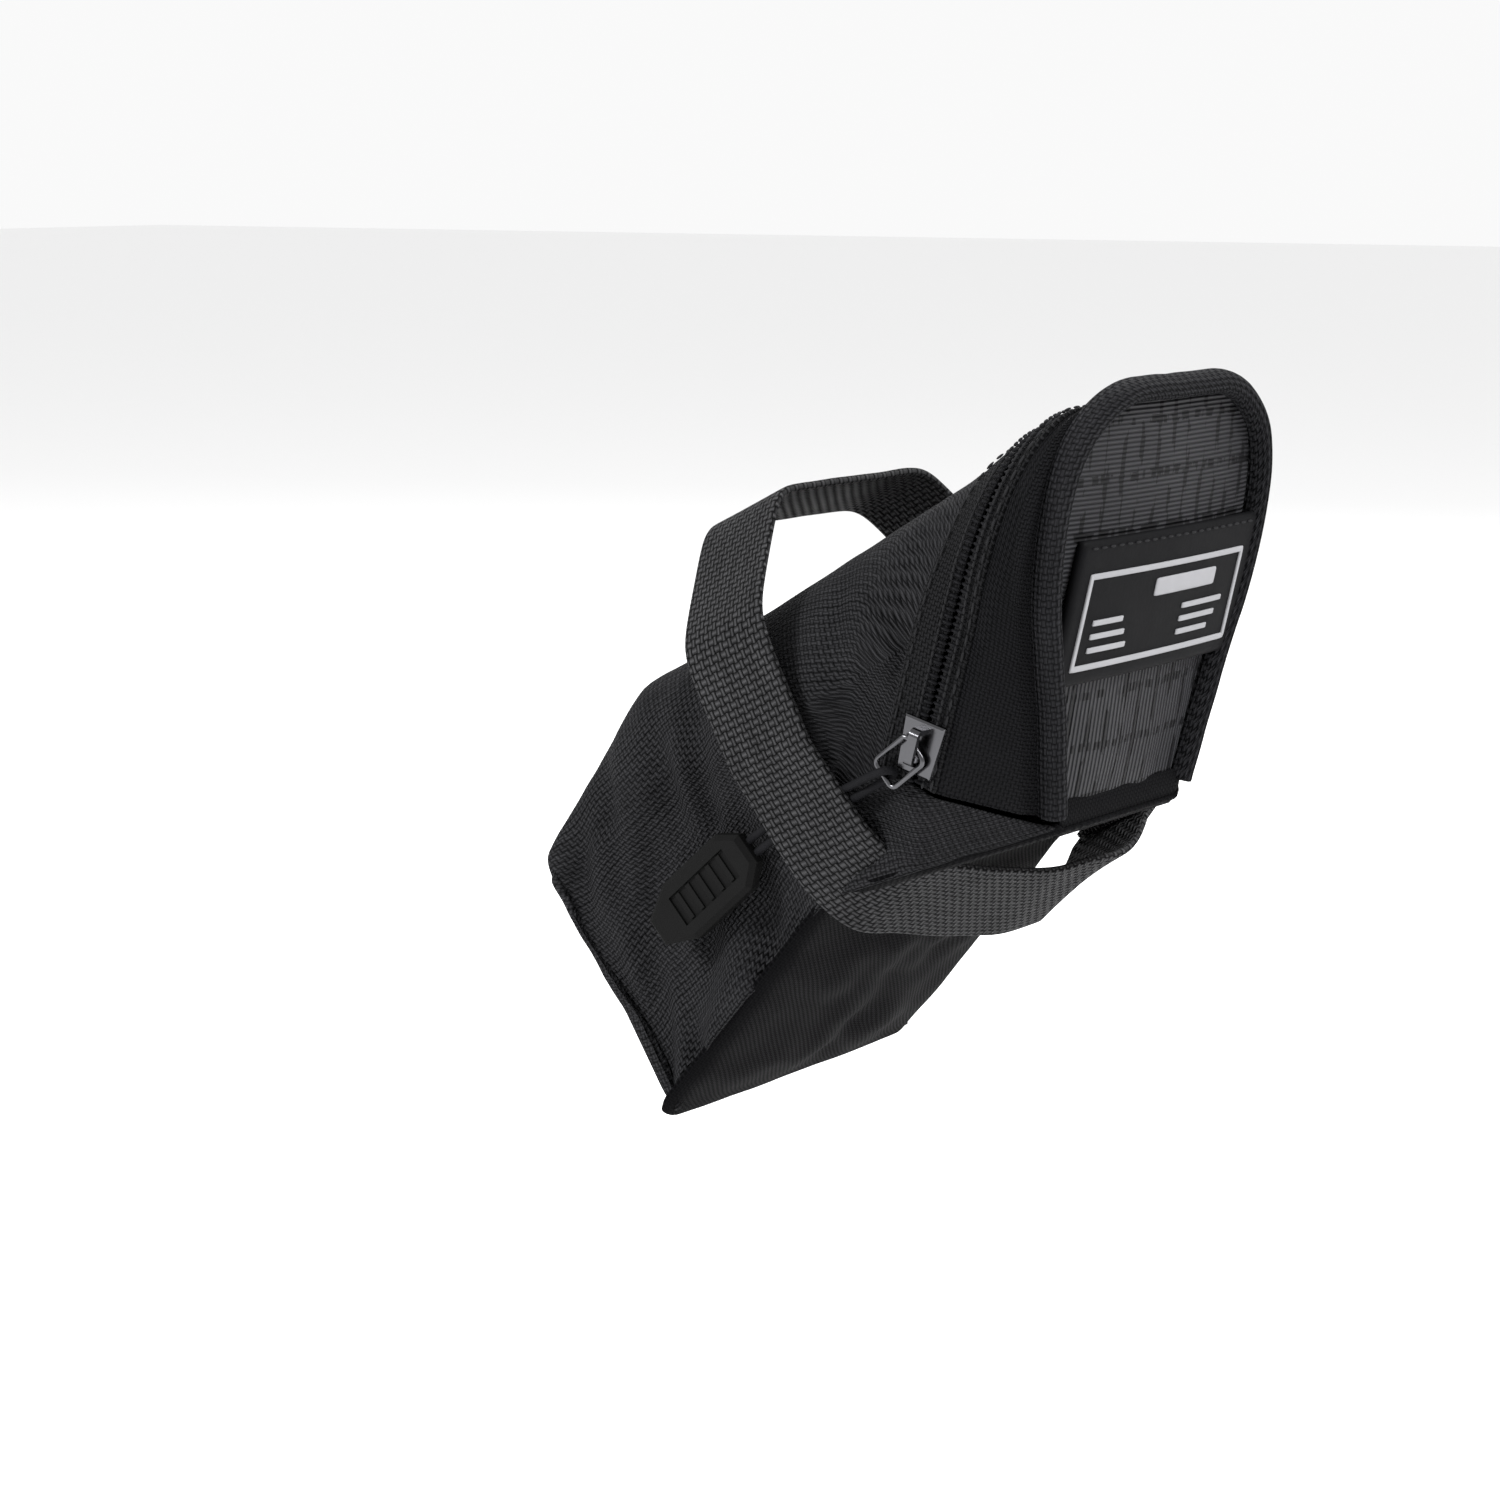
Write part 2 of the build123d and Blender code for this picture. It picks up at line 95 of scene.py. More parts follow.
# %% Camera
cam_data = bpy.data.cameras.new("camera")
cam_data.lens = 85
cam_data.sensor_width = 36
camera = bpy.data.objects.new("camera", cam_data)
bpy.context.scene.collection.objects.link(camera)
bpy.context.scene.camera = camera
AZ, EL = math.radians(35.0), math.radians(9.6)
back = Vector((math.sin(AZ) * math.cos(EL), -math.cos(AZ) * math.cos(EL), math.sin(EL)))
right = Vector((math.cos(AZ), math.sin(AZ), 0))
camera.rotation_mode = "QUATERNION"
camera.rotation_quaternion = (-back).to_track_quat("-Z", "Y")
camera.location = spot(68.35, -5, 48.3) + back * 0.708 - right * 0.0360 - back.cross(right) * 0.0006
cam_data.clip_start, cam_data.clip_end = 0.01, 30
print("camera stands at", tuple(round(c, 3) for c in camera.location))

# %% Floor and lamps
FLOOR_Z = cad_low.z - 0.05
floor_mesh = bpy.data.meshes.new("floor")
FLOOR_REACH = 8
floor_corners = [(x * FLOOR_REACH, y * FLOOR_REACH, FLOOR_Z) for x, y in ((-1, -1), (1, -1), (1, 1), (-1, 1))]
floor_mesh.from_pydata(floor_corners, [], [(0, 1, 2, 3)])
floor = bpy.data.objects.new("floor", floor_mesh)
bpy.context.scene.collection.objects.link(floor)
floor_paint = bpy.data.materials.new("floor_paint")
floor_paint.use_nodes = True
floor_paint.node_tree.nodes["Principled BSDF"].inputs["Base Color"].default_value = (0.9, 0.9, 0.9, 1)
floor_paint.node_tree.nodes["Principled BSDF"].inputs["Roughness"].default_value = 0.9
floor_mesh.materials.append(floor_paint)


def lamp(name, place, aim, size, watts):
    data = bpy.data.lights.new(name, "AREA")
    data.shape = "DISK"
    data.size = size
    data.energy = watts
    obj = bpy.data.objects.new(name, data)
    obj.location = place
    obj.rotation_mode = "QUATERNION"
    obj.rotation_quaternion = (Vector(aim) - Vector(place)).to_track_quat("-Z", "Y")
    bpy.context.scene.collection.objects.link(obj)
    return obj


CENTRE = (0.03, 0.0, -0.045)
lamp("key_lamp", (0.75, 0.25, 0.75), CENTRE, 0.3, 15)
lamp("side_lamp", (-0.55, -0.95, 0.55), CENTRE, 0.35, 14)
lamp("rim_lamp", (-0.3, 0.9, 0.8), CENTRE, 0.5, 8)
world = bpy.data.worlds.new("studio")
world.use_nodes = True
world.node_tree.nodes["Background"].inputs[0].default_value = (1, 1, 1, 1)
world.node_tree.nodes["Background"].inputs[1].default_value = 0.95
bpy.context.scene.world = world
bpy.context.scene.view_settings.view_transform = "Standard"

# %% [markdown]
# ## The bag's shape as a rule
# Every cloth strip on this bag lies on one rounded wedge. So the wedge is written once, as a half-width for any
# (u, v) of the side view: full width, narrowing towards the rear foot, and rounded over the top. Each strip is
# then a row of loops, left side to right side over the top, between two lines of the side view.

# %% The wedge
HALF = 47.0
TOP_ROUND, REAR_ROUND = 24.0, 36.0
FRONT_HEIGHT, SHOULDER, TOP_SLOPE = 58.0, (30.0, 82.0), 0.075
REAR_FOOT, REAR_ANGLE = np.array([100.0, 20.6]), math.radians(55.0)
MOUTH_POINT, MOUTH_ANGLE = np.array([94.0, 44.0]), math.radians(48.0)
REAR_RUN = np.array([math.cos(REAR_ANGLE), math.sin(REAR_ANGLE)])
MOUTH_RUN = np.array([math.cos(MOUTH_ANGLE), math.sin(MOUTH_ANGLE)])
REAR_FACE = np.array([REAR_RUN[1], -REAR_RUN[0]])
MOUTH_FACE = np.array([MOUTH_RUN[1], -MOUTH_RUN[0]])
crown_foot = REAR_FOOT + 80 * REAR_RUN
TAPER = [np.array(p) for p in ((80.0, HALF, 23.3), (crown_foot[0], HALF, crown_foot[1]), (100.0, 24.0, 20.6))]
TAPER_OUT = np.cross(TAPER[2] - TAPER[0], TAPER[1] - TAPER[0])


def meets_top(point, run):
    """Where a side-view line from a point reaches the top's profile."""
    t = (82 + TOP_SLOPE * (point[0] - 30) - point[1]) / (run[1] - TOP_SLOPE * run[0])
    return point + run * t


def below_top(u, v):
    """Distance below the top's profile, measured square to it."""
    flat = (82 + TOP_SLOPE * (u - 30) - v) * 0.9955
    slope = (FRONT_HEIGHT + 0.8 * u - v) * 0.781
    return np.minimum(flat, slope)


def round_at(u):
    """Radius of the top's rounding: small at the front, full further back, an arch at the rear panel."""
    front = np.clip(6 + (TOP_ROUND - 6) * (u / 45), 6, TOP_ROUND)
    return front + (REAR_ROUND - TOP_ROUND) * np.clip((u - 142) / 6.5, 0, 1)


def side_width(u, v):
    """Half-width without the top's rounding."""
    start = TAPER[0]
    narrow = start[1] - (TAPER_OUT[0] * (u - start[0]) + TAPER_OUT[2] * (v - start[2])) / TAPER_OUT[1]
    soft = 2.0
    low = np.minimum(HALF, narrow)
    flare = 4.5 * np.clip((u - 114.0) / 28.0, 0, 1)
    return low - soft * 0.35 * np.exp(-np.abs(HALF - narrow) / soft) + flare


def section(bottom, top, bend=None, n_side=26, n_corner=12, n_top=14):
    """One loop over the bag between two ends of a side-view line: left foot, over the top, right foot."""
    s = np.linspace(0, 1, 241)
    line = bottom[None] * (1 - s[:, None]) + top[None] * s[:, None]
    if bend is not None:
        line = line + bend(s)
    depth = below_top(line[:, 0], line[:, 1])
    radius = round_at(line[-1, 0])
    at = int(np.argmax(depth < radius))
    s_corner = s[at]
    phi = np.linspace(0, math.pi / 2, n_corner + 1)[1:]
    s_round = np.interp(-radius * (1 - np.sin(phi)), -depth, s)
    every = np.concatenate([np.linspace(0, s_corner, n_side), s_round])
    u = np.interp(every, s, line[:, 0])
    v = np.interp(every, s, line[:, 1])
    width = side_width(u, v)
    inset = np.concatenate([np.zeros(n_side), radius * (1 - np.cos(phi))])
    y = width - inset
    left = np.stack([u, -y, v], -1)
    middle = np.linspace(-y[-1], y[-1], n_top + 2)[1:-1]
    over = np.stack([np.full(n_top, u[-1]), middle, np.full(n_top, v[-1])], -1)
    right_side = np.stack([u, y, v], -1)[::-1]
    return np.concatenate([left, over, right_side])


def outward(grid):
    """Unit normals of a grid of points, pointing away from the bag's middle line."""
    along = np.gradient(grid, axis=0)
    across = np.gradient(grid, axis=1)
    n = np.cross(along, across)
    n /= np.linalg.norm(n, axis=-1, keepdims=True) + 1e-12
    centre = grid.mean((0, 1))
    if ((grid - centre) * n).sum() < 0:
        n = -n
    return n


print("half-widths at the rear foot and the label", side_width(100.0, 20.6), side_width(128.0, 56.0))

# %% [markdown]
# ## Cloth from a grid
# A grid of points becomes a quad mesh with a UV map in real metres, so a weave keeps its true size wherever it
# runs. Solidify gives it a wall and closes its edges.

# %% Grid to cloth
def lengths(grid, axis):
    step = np.linalg.norm(np.diff(grid, axis=axis), axis=-1)
    total = np.cumsum(step, axis=axis)
    pad = [(0, 0), (0, 0)]
    pad[axis] = (1, 0)
    return np.pad(total, pad)


def soft_noise(points, scale, seed):
    """Smooth noise between -1 and 1 at each point, in features of about the given millimetres."""
    flat = np.asarray(points).reshape(-1, 3)
    out = [noise.noise(Vector((p / scale).tolist()) + Vector((seed * 7.3, seed * 3.1, seed))) for p in flat]
    return np.array(out).reshape(np.asarray(points).shape[:-1])


def cloth(name, grid, thickness=1.2, levels=1, uv=None, closed_across=False, offset=-1.0):
    """A cloth piece over a grid (rows, columns, 3) of the bag's own frame, its faces pointing outwards."""
    rows, cols = grid.shape[:2]
    world_points = placed(grid)
    if uv is None:
        uv = np.stack([lengths(grid, 0), lengths(grid, 1)], -1) / 1000.0
    faces, corners = [], []
    last = cols if closed_across else cols - 1
    for i in range(rows - 1):
        for j in range(last):
            k = (j + 1) % cols
            faces.append((i * cols + j, i * cols + k, (i + 1) * cols + k, (i + 1) * cols + j))
            corners += [(i, j), (i, k), (i + 1, k), (i + 1, j)]
    mesh = bpy.data.meshes.new(name)
    mesh.from_pydata(world_points.reshape(-1, 3).tolist(), [], faces)
    layer = mesh.uv_layers.new(name="cloth")
    layer.data.foreach_set("uv", np.array([uv[i, j] for i, j in corners], np.float32).ravel())
    want = outward(grid)[rows // 2, cols // 2] if not closed_across else None
    if want is not None:
        here = np.cross(grid[rows // 2, cols // 2 + 1] - grid[rows // 2, cols // 2],
                        grid[rows // 2 + 1, cols // 2] - grid[rows // 2, cols // 2])
        if here @ want < 0:
            mesh.flip_normals()
    mesh.polygons.foreach_set("use_smooth", [True] * len(mesh.polygons))
    obj = bpy.data.objects.new(name, mesh)
    bpy.context.scene.collection.objects.link(obj)
    if thickness:
        wall = obj.modifiers.new("wall", "SOLIDIFY")
        wall.thickness = thickness / 1000.0
        wall.offset = offset
    if levels:
        smooth = obj.modifiers.new("smooth", "SUBSURF")
        smooth.levels = levels
        smooth.render_levels = levels
    return obj


def flat_line(points, n):
    """Evenly spaced points along a side-view polyline."""
    p = np.asarray(points, float)
    d = np.concatenate([[0], np.cumsum(np.linalg.norm(np.diff(p, axis=0), axis=1))])
    t = np.linspace(0, d[-1], n)
    return np.stack([np.interp(t, d, p[:, 0]), np.interp(t, d, p[:, 1])], -1)


def softened(line, rounds):
    """A polyline with its corners eased, its ends kept."""
    out = line.copy()
    for _ in range(rounds):
        out[1:-1] = (out[:-2] + 2 * out[1:-1] + out[2:]) / 4
    return out


print("cloth helpers ready")

# %% [markdown]
# ## Finishes
# All the cloth is nearly black, so what tells the pieces apart is the weave: its pitch, its relief and how it takes
# light. One helper builds a woven finish from the piece's own UV map in metres: two sets of threads cross, one
# passing over the other, and a slow noise varies the dye. Each finish then sets its own pitch and adds its marks.

# %% Node helpers
def finish(name):
    m = bpy.data.materials.new(name)
    m.use_nodes = True
    nodes = m.node_tree.nodes
    return m, m.node_tree, nodes["Principled BSDF"]


def calc(tree, what, a, b=None, c=None):
    """One maths node; each input is a number or a socket."""
    node = tree.nodes.new("ShaderNodeMath")
    node.operation = what
    for i, value in enumerate((a, b, c)):
        if value is None:
            continue
        if isinstance(value, (int, float)):
            node.inputs[i].default_value = value
        else:
            tree.links.new(value, node.inputs[i])
    return node.outputs[0]


def uv_parts(tree):
    uv = tree.nodes.new("ShaderNodeUVMap")
    uv.uv_map = "cloth"
    parts = tree.nodes.new("ShaderNodeSeparateXYZ")
    tree.links.new(uv.outputs[0], parts.inputs[0])
    return uv.outputs[0], parts.outputs[0], parts.outputs[1]


def blotch(tree, vector, scale, detail=3.0, rough=0.55):
    n = tree.nodes.new("ShaderNodeTexNoise")
    n.inputs["Scale"].default_value = scale
    n.inputs["Detail"].default_value = detail
    n.inputs["Roughness"].default_value = rough
    tree.links.new(vector, n.inputs["Vector"])
    return n.outputs[0]


def stretched(tree, vector, sx, sy):
    node = tree.nodes.new("ShaderNodeMapping")
    node.inputs["Scale"].default_value = (sx, sy, 1)
    tree.links.new(vector, node.inputs["Vector"])
    return node.outputs[0]


def shade_between(tree, factor, dark, light):
    ramp = tree.nodes.new("ShaderNodeMix")
    ramp.data_type = "RGBA"
    ramp.inputs["A"].default_value = (*dark, 1)
    ramp.inputs["B"].default_value = (*light, 1)
    tree.links.new(factor, ramp.inputs["Factor"])
    return ramp.outputs["Result"]


def raise_by(tree, shader, height, distance, strength=1.0):
    bump = tree.nodes.new("ShaderNodeBump")
    bump.inputs["Distance"].default_value = distance
    bump.inputs["Strength"].default_value = strength
    tree.links.new(height, bump.inputs["Height"])
    tree.links.new(bump.outputs[0], shader.inputs["Normal"])


# %% Woven cloth
def thread(tree, along, pitch):
    """0..1 height of a row of round threads of a pitch in metres."""
    wave = calc(tree, "SINE", calc(tree, "MULTIPLY", along, math.pi / pitch))
    return calc(tree, "ABSOLUTE", wave)


def plain_weave(tree, a, b, pitch_a, pitch_b):
    """Threads across and along, each on top on alternate squares."""
    over_a = thread(tree, a, pitch_a)
    over_b = thread(tree, b, pitch_b)
    check = calc(tree, "MULTIPLY", calc(tree, "SINE", calc(tree, "MULTIPLY", a, math.pi / pitch_a)),
                 calc(tree, "SINE", calc(tree, "MULTIPLY", b, math.pi / pitch_b)))
    pick = calc(tree, "GREATER_THAN", check, 0.0)
    rest = calc(tree, "SUBTRACT", 1.0, pick)
    return calc(tree, "ADD", calc(tree, "MULTIPLY", over_a, pick), calc(tree, "MULTIPLY", over_b, rest))


def woven(name, dark, light, pitch=(0.0007, 0.0007), rough=(0.6, 0.8), relief=0.0002, rib=None, sheen=0.1,
          melange=0.5):
    """Nearly black cloth. rib=(pitch, share) adds cords along the piece's length."""
    m, tree, shader = finish(name)
    vector, a, b = uv_parts(tree)
    weave = plain_weave(tree, a, b, *pitch)
    yarn = blotch(tree, stretched(tree, vector, 1 / (pitch[0] * 9), 1 / (pitch[1] * 1.2)), 1.0, 2.0)
    patch = blotch(tree, vector, 45.0)
    height = weave
    if rib:
        cords = calc(tree, "POWER", thread(tree, b, rib[0]), 0.6)
        plain_share = calc(tree, "MULTIPLY", weave, 1 - rib[1])
        height = calc(tree, "ADD", plain_share, calc(tree, "MULTIPLY", cords, rib[1]))
    dye = calc(tree, "ADD", calc(tree, "MULTIPLY", yarn, melange), 1 - melange / 2)
    # The thread height also sets the colour: thread tops painted lighter and the valleys between threads painted
    # darker, as painted shade; the yarn streaks and slow patches vary the dye.
    tone = calc(tree, "MULTIPLY", height, dye)
    tone = calc(tree, "MULTIPLY", tone, calc(tree, "ADD", calc(tree, "MULTIPLY", patch, 0.5), 0.7))
    tree.links.new(shade_between(tree, tone, dark, light), shader.inputs["Base Color"])
    spread = calc(tree, "ADD", calc(tree, "MULTIPLY", patch, rough[1] - rough[0]), rough[0])
    tree.links.new(spread, shader.inputs["Roughness"])
    shader.inputs["Sheen Weight"].default_value = sheen
    shader.inputs["Sheen Roughness"].default_value = 0.4
    shader.inputs["Specular IOR Level"].default_value = 0.1
    shader.inputs["IOR"].default_value = 1.2
    raise_by(tree, shader, height, relief)
    return m, tree, shader


body_cloth = woven("body_cloth", (0.0012, 0.0012, 0.0014), (0.028, 0.028, 0.03), (0.0011, 0.0009),
                   rib=(0.0017, 0.35), relief=0.0009, melange=1.0, sheen=0.0)[0]
base_cloth = woven("base_cloth", (0.0008, 0.0008, 0.0010), (0.004, 0.004, 0.0045), (0.0007, 0.0007),
                   rough=(0.7, 0.85), relief=0.00008, sheen=0.01, melange=0.5)[0]
smooth_cloth = woven("smooth_cloth", (0.0012, 0.0012, 0.0014), (0.008, 0.008, 0.009), (0.0009, 0.0008),
                     rough=(0.4, 0.58), relief=0.0003, sheen=0.01, melange=0.5)[0]
webbing_cloth = woven("webbing_cloth", (0.0012, 0.0012, 0.0013), (0.05, 0.05, 0.052), (0.0016, 0.0011),
                      rough=(0.5, 0.75), relief=0.0011, melange=1.1, sheen=0.0)[0]
tape_cloth = woven("tape_cloth", (0.0014, 0.0014, 0.0016), (0.012, 0.012, 0.013), (0.0009, 0.0009), relief=0.0004,
                   melange=0.6, sheen=0.02)[0]
knit_cloth = woven("knit_cloth", (0.0012, 0.0012, 0.0014), (0.021, 0.021, 0.023), (0.0013, 0.0010), relief=0.0008,
                   rib=(0.0012, 0.3), sheen=0.0, melange=0.8)[0]
print("cloth finishes ready")

# %% [markdown]
# The rear panel is a ripstop: fine ribs across, with heavier slub threads that make an uneven grid. Below the
# label the same cloth is turned, so its cords run down.

# %% Ripstop for the rear panel
def ripstop():
    m, tree, shader = finish("ripstop_cloth")
    vector, up, across = uv_parts(tree)
    fine = thread(tree, up, 0.0009)
    cords = thread(tree, across, 0.0013)
    upper = calc(tree, "GREATER_THAN", up, 0.034)
    lower = calc(tree, "SUBTRACT", 1.0, upper)
    height = calc(tree, "ADD", calc(tree, "MULTIPLY", fine, upper), calc(tree, "MULTIPLY", cords, lower))
    wobble = calc(tree, "MULTIPLY", calc(tree, "SUBTRACT", blotch(tree, vector, 60.0), 0.5), 0.002)
    slub = None
    for line, pitch, soft in ((across, 0.0062, 0.93), (up, 0.0105, 0.97)):
        turns = calc(tree, "MULTIPLY", calc(tree, "ADD", line, wobble), math.pi / pitch)
        near = calc(tree, "ABSOLUTE", calc(tree, "SINE", turns))
        edge = calc(tree, "GREATER_THAN", near, soft)
        slub = edge if slub is None else calc(tree, "MAXIMUM", slub, edge)
    broken = calc(tree, "GREATER_THAN", blotch(tree, stretched(tree, vector, 130, 420), 1.0, 2.0), 0.48)
    slub = calc(tree, "MULTIPLY", slub, broken)
    patch = blotch(tree, vector, 30.0)
    # The thread height also sets the colour: raised threads painted lighter and the grooves between them painted
    # darker, as painted shade; the slub lines are darker again, and slow patches vary the tone.
    tone = calc(tree, "MULTIPLY", calc(tree, "ADD", calc(tree, "MULTIPLY", height, 0.7), 0.3),
                calc(tree, "SUBTRACT", 1.0, calc(tree, "MULTIPLY", slub, 0.75)))
    tone = calc(tree, "MULTIPLY", tone, calc(tree, "ADD", calc(tree, "MULTIPLY", patch, 0.6), 0.6))
    shade = shade_between(tree, tone, (0.0012, 0.0012, 0.0014), (0.034, 0.034, 0.037))
    tree.links.new(shade, shader.inputs["Base Color"])
    shader.inputs["Roughness"].default_value = 0.5
    shader.inputs["Sheen Weight"].default_value = 0.0
    shader.inputs["Specular IOR Level"].default_value = 0.16
    shader.inputs["IOR"].default_value = 1.25
    raise_by(tree, shader, calc(tree, "SUBTRACT", height, calc(tree, "MULTIPLY", slub, 0.8)), 0.0006)
    return m


ripstop_cloth = ripstop()
print("ripstop ready")

# %% [markdown]
# ## Rubber, metal and printed relief
# These have no weave: a moulded skin with a faint grain, a dark plated metal that catches the lamps, and the
# pale raised lines of the label.

# %% Hard finishes
def plain(name, color, rough, metal=0.0, grain=900.0, relief=0.00003, wear=0.25):
    m, tree, shader = finish(name)
    coord = tree.nodes.new("ShaderNodeTexCoord").outputs["Object"]
    fleck = blotch(tree, coord, grain, 2.0)
    cloud = blotch(tree, coord, 90.0, 3.0)
    dark = tuple(c * (1 - wear) for c in color)
    light = tuple(min(1.0, c * (1 + wear)) for c in color)
    tree.links.new(shade_between(tree, cloud, dark, light), shader.inputs["Base Color"])
    spread = calc(tree, "ADD", calc(tree, "MULTIPLY", cloud, 0.2), rough - 0.1)
    tree.links.new(spread, shader.inputs["Roughness"])
    shader.inputs["Metallic"].default_value = metal
    shader.inputs["Specular IOR Level"].default_value = 0.5 if metal else 0.12
    shader.inputs["IOR"].default_value = 1.5 if metal else 1.25
    raise_by(tree, shader, fleck, relief)
    return m


label_rubber = plain("label_rubber", (0.004, 0.004, 0.0045), 0.6)
label_print = plain("label_print", (0.24, 0.24, 0.25), 0.6, wear=0.15)
tab_rubber = plain("tab_rubber", (0.006, 0.006, 0.006), 0.6, relief=0.00006)
dark_metal = plain("dark_metal", (0.08, 0.08, 0.085), 0.2, metal=1.0, grain=400, relief=0.00001)
coil_plastic = plain("coil_plastic", (0.007, 0.007, 0.008), 0.42)
thread_finish = plain("thread_finish", (0.016, 0.016, 0.017), 0.7)
board_finish = plain("board_finish", (0.05, 0.05, 0.05), 0.7)
print("hard finishes ready")

# %% [markdown]
# ## The pouch
# The real pouch is cloth sewn into a wedge and stuffed. It is lofted here in one skin from the front end, over
# both sides and the top, to the zipper tape: each row is one loop of the wedge. The skin sags between its seams,
# and long soft folds run down the sides where the strap gathers it.

# %% Lines that bound each strip
FOLD_FOOT = REAR_FOOT + 2 * REAR_RUN
ZIP_FOOT = MOUTH_POINT - 6.5 * MOUTH_RUN
CAP_EDGE = (ZIP_FOOT - FOLD_FOOT) / np.linalg.norm(ZIP_FOOT - FOLD_FOOT)


def mouth_line(e):
    """Side-view line beside the zipper, e millimetres to its rear (minus: to its front)."""
    bottom = ZIP_FOOT + MOUTH_FACE * e
    if e > 0:
        still_to_go = e - (FOLD_FOOT - MOUTH_POINT) @ MOUTH_FACE
        bottom = FOLD_FOOT + CAP_EDGE * (still_to_go / (CAP_EDGE @ MOUTH_FACE))
    return bottom, meets_top(MOUTH_POINT + MOUTH_FACE * e, MOUTH_RUN)


def rear_line(e, up=3.0):
    """Side-view line along the rear plane, e millimetres outside it."""
    bottom = REAR_FOOT + REAR_FACE * e + REAR_RUN * up
    if e < -1:
        bottom = FOLD_FOOT + CAP_EDGE * (e / (CAP_EDGE @ REAR_FACE))
    return bottom, meets_top(REAR_FOOT + REAR_FACE * e, REAR_RUN)


def strip(lines, **kw):
    return np.stack([section(a, b, **kw) for a, b in lines])


print("zipper runs", mouth_line(0), "rear panel runs", rear_line(0))

# %% Loft the pouch
ROWS = 74
low = softened(flat_line([(0, 0), (60, 26), REAR_FOOT + REAR_RUN], ROWS), 6)
high = softened(flat_line([(0, FRONT_HEIGHT), SHOULDER, mouth_line(-7.6)[1]], ROWS), 5)
end_line = flat_line([FOLD_FOOT, ZIP_FOOT, mouth_line(-7.6)[0], mouth_line(-7.6)[1]], 241)
end_straight = flat_line([FOLD_FOOT, mouth_line(-7.6)[1]], 241)
end_s = np.linspace(0, 1, 241)


def end_bend(t):
    def bend(s):
        du = np.interp(s, end_s, end_line[:, 0] - end_straight[:, 0])
        dv = np.interp(s, end_s, end_line[:, 1] - end_straight[:, 1])
        return np.stack([du, dv], -1) * t**2.2
    return bend


loops = []
for i in range(ROWS):
    loops.append(section(low[i], high[i], end_bend(i / (ROWS - 1)), n_side=34))
pouch = np.stack(loops)
front_lip = pouch[0].copy()
lip_centre = np.array([0.0, 0.0, 4.0])
lips = []
for k, forward in ((0.0, 0.0), (0.2, -0.4), (0.4, -0.8), (0.6, -1.0), (0.8, -0.9), (0.9, -0.5), (0.96, 0.1)):
    ring = lip_centre + (front_lip - lip_centre) * np.array([1, k, k])
    ring[:, 0] = forward
    lips.append(ring)
edge = pouch[0].copy()
edge[:, 0] = 1.0
edge = lip_centre + (edge - lip_centre) * np.array([1, 0.99, 0.99])
edge[:, 0] = 1.0
pouch[0] = edge
pouch = np.concatenate([np.stack(lips), pouch])
print("pouch grid", pouch.shape)


# %% Sag and folds
def creased(grid):
    """Long soft folds down the sides, deeper in front of the strap, and a slack top."""
    u, y, v = grid[..., 0], grid[..., 1], grid[..., 2]
    out = outward(grid)
    lean = u - 0.25 * (v - 40)
    folds = soft_noise(np.stack([lean * 1.0, np.sign(y) * 30, v * 0.22], -1), 6.5, 3)
    slow = soft_noise(np.stack([lean * 0.7, y * 0.3, v * 0.5], -1), 16, 5)
    fine = soft_noise(grid, 3.2, 9)
    side = np.clip((np.abs(y) - HALF + 12) / 10, 0, 1)
    front = np.clip((56 - u) / 16, 0, 1)
    rear = np.clip((u - 70) / 14, 0, 1)
    seam = np.clip((below_top(u, v) + 4) / 10, 0.2, 1)
    depth = side * seam * (0.25 + 1.25 * front + 0.8 * rear)
    move = depth * (folds * 3.4 + slow * 2.4 - 1.7) + fine * 0.2
    move = np.clip(move, -6.0, 0.6)
    top = np.clip(1 - np.abs(y) / 26, 0, 1) * (below_top(u, v) < 3)
    move = move - top * (0.8 + 0.9 * slow)
    edge_hold = np.ones(grid.shape[0])
    edge_hold[-3:] = (0.6, 0.3, 0.0)
    return grid + out * (move * edge_hold[:, None])[..., None]


forward = pouch[..., 2] / 58.0 * np.clip(1 - pouch[..., 0] / 32.0, 0, 1)
pouch[..., 0] -= 5.0 * np.clip(forward, 0, 1.1)
pouch = creased(pouch)
tuck_left, tuck_right = pouch[:, :1].copy(), pouch[:, -1:].copy()
tuck = 1.6 * np.clip((pouch[:, :1, 0] + 1.5) / 6, 0, 1)
tuck_left[..., 1] += tuck
tuck_right[..., 1] -= tuck
pouch = np.concatenate([tuck_left, pouch, tuck_right], axis=1)
pouch_skin = cloth("pouch_skin", pouch, thickness=1.3, levels=1)
pouch_skin.data.materials.append(body_cloth)
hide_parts("front_panel", "left_side_panel", "right_side_panel", "top_panel")
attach(pouch_skin, "bag")
print("pouch faces", len(pouch_skin.data.polygons))

# %% [markdown]
# ## Base
# The base is a smoother coated cloth, sewn on along a turned-in seam that reads as a dark groove. It dips a
# little between its edges, where the stuffing pushes it down.

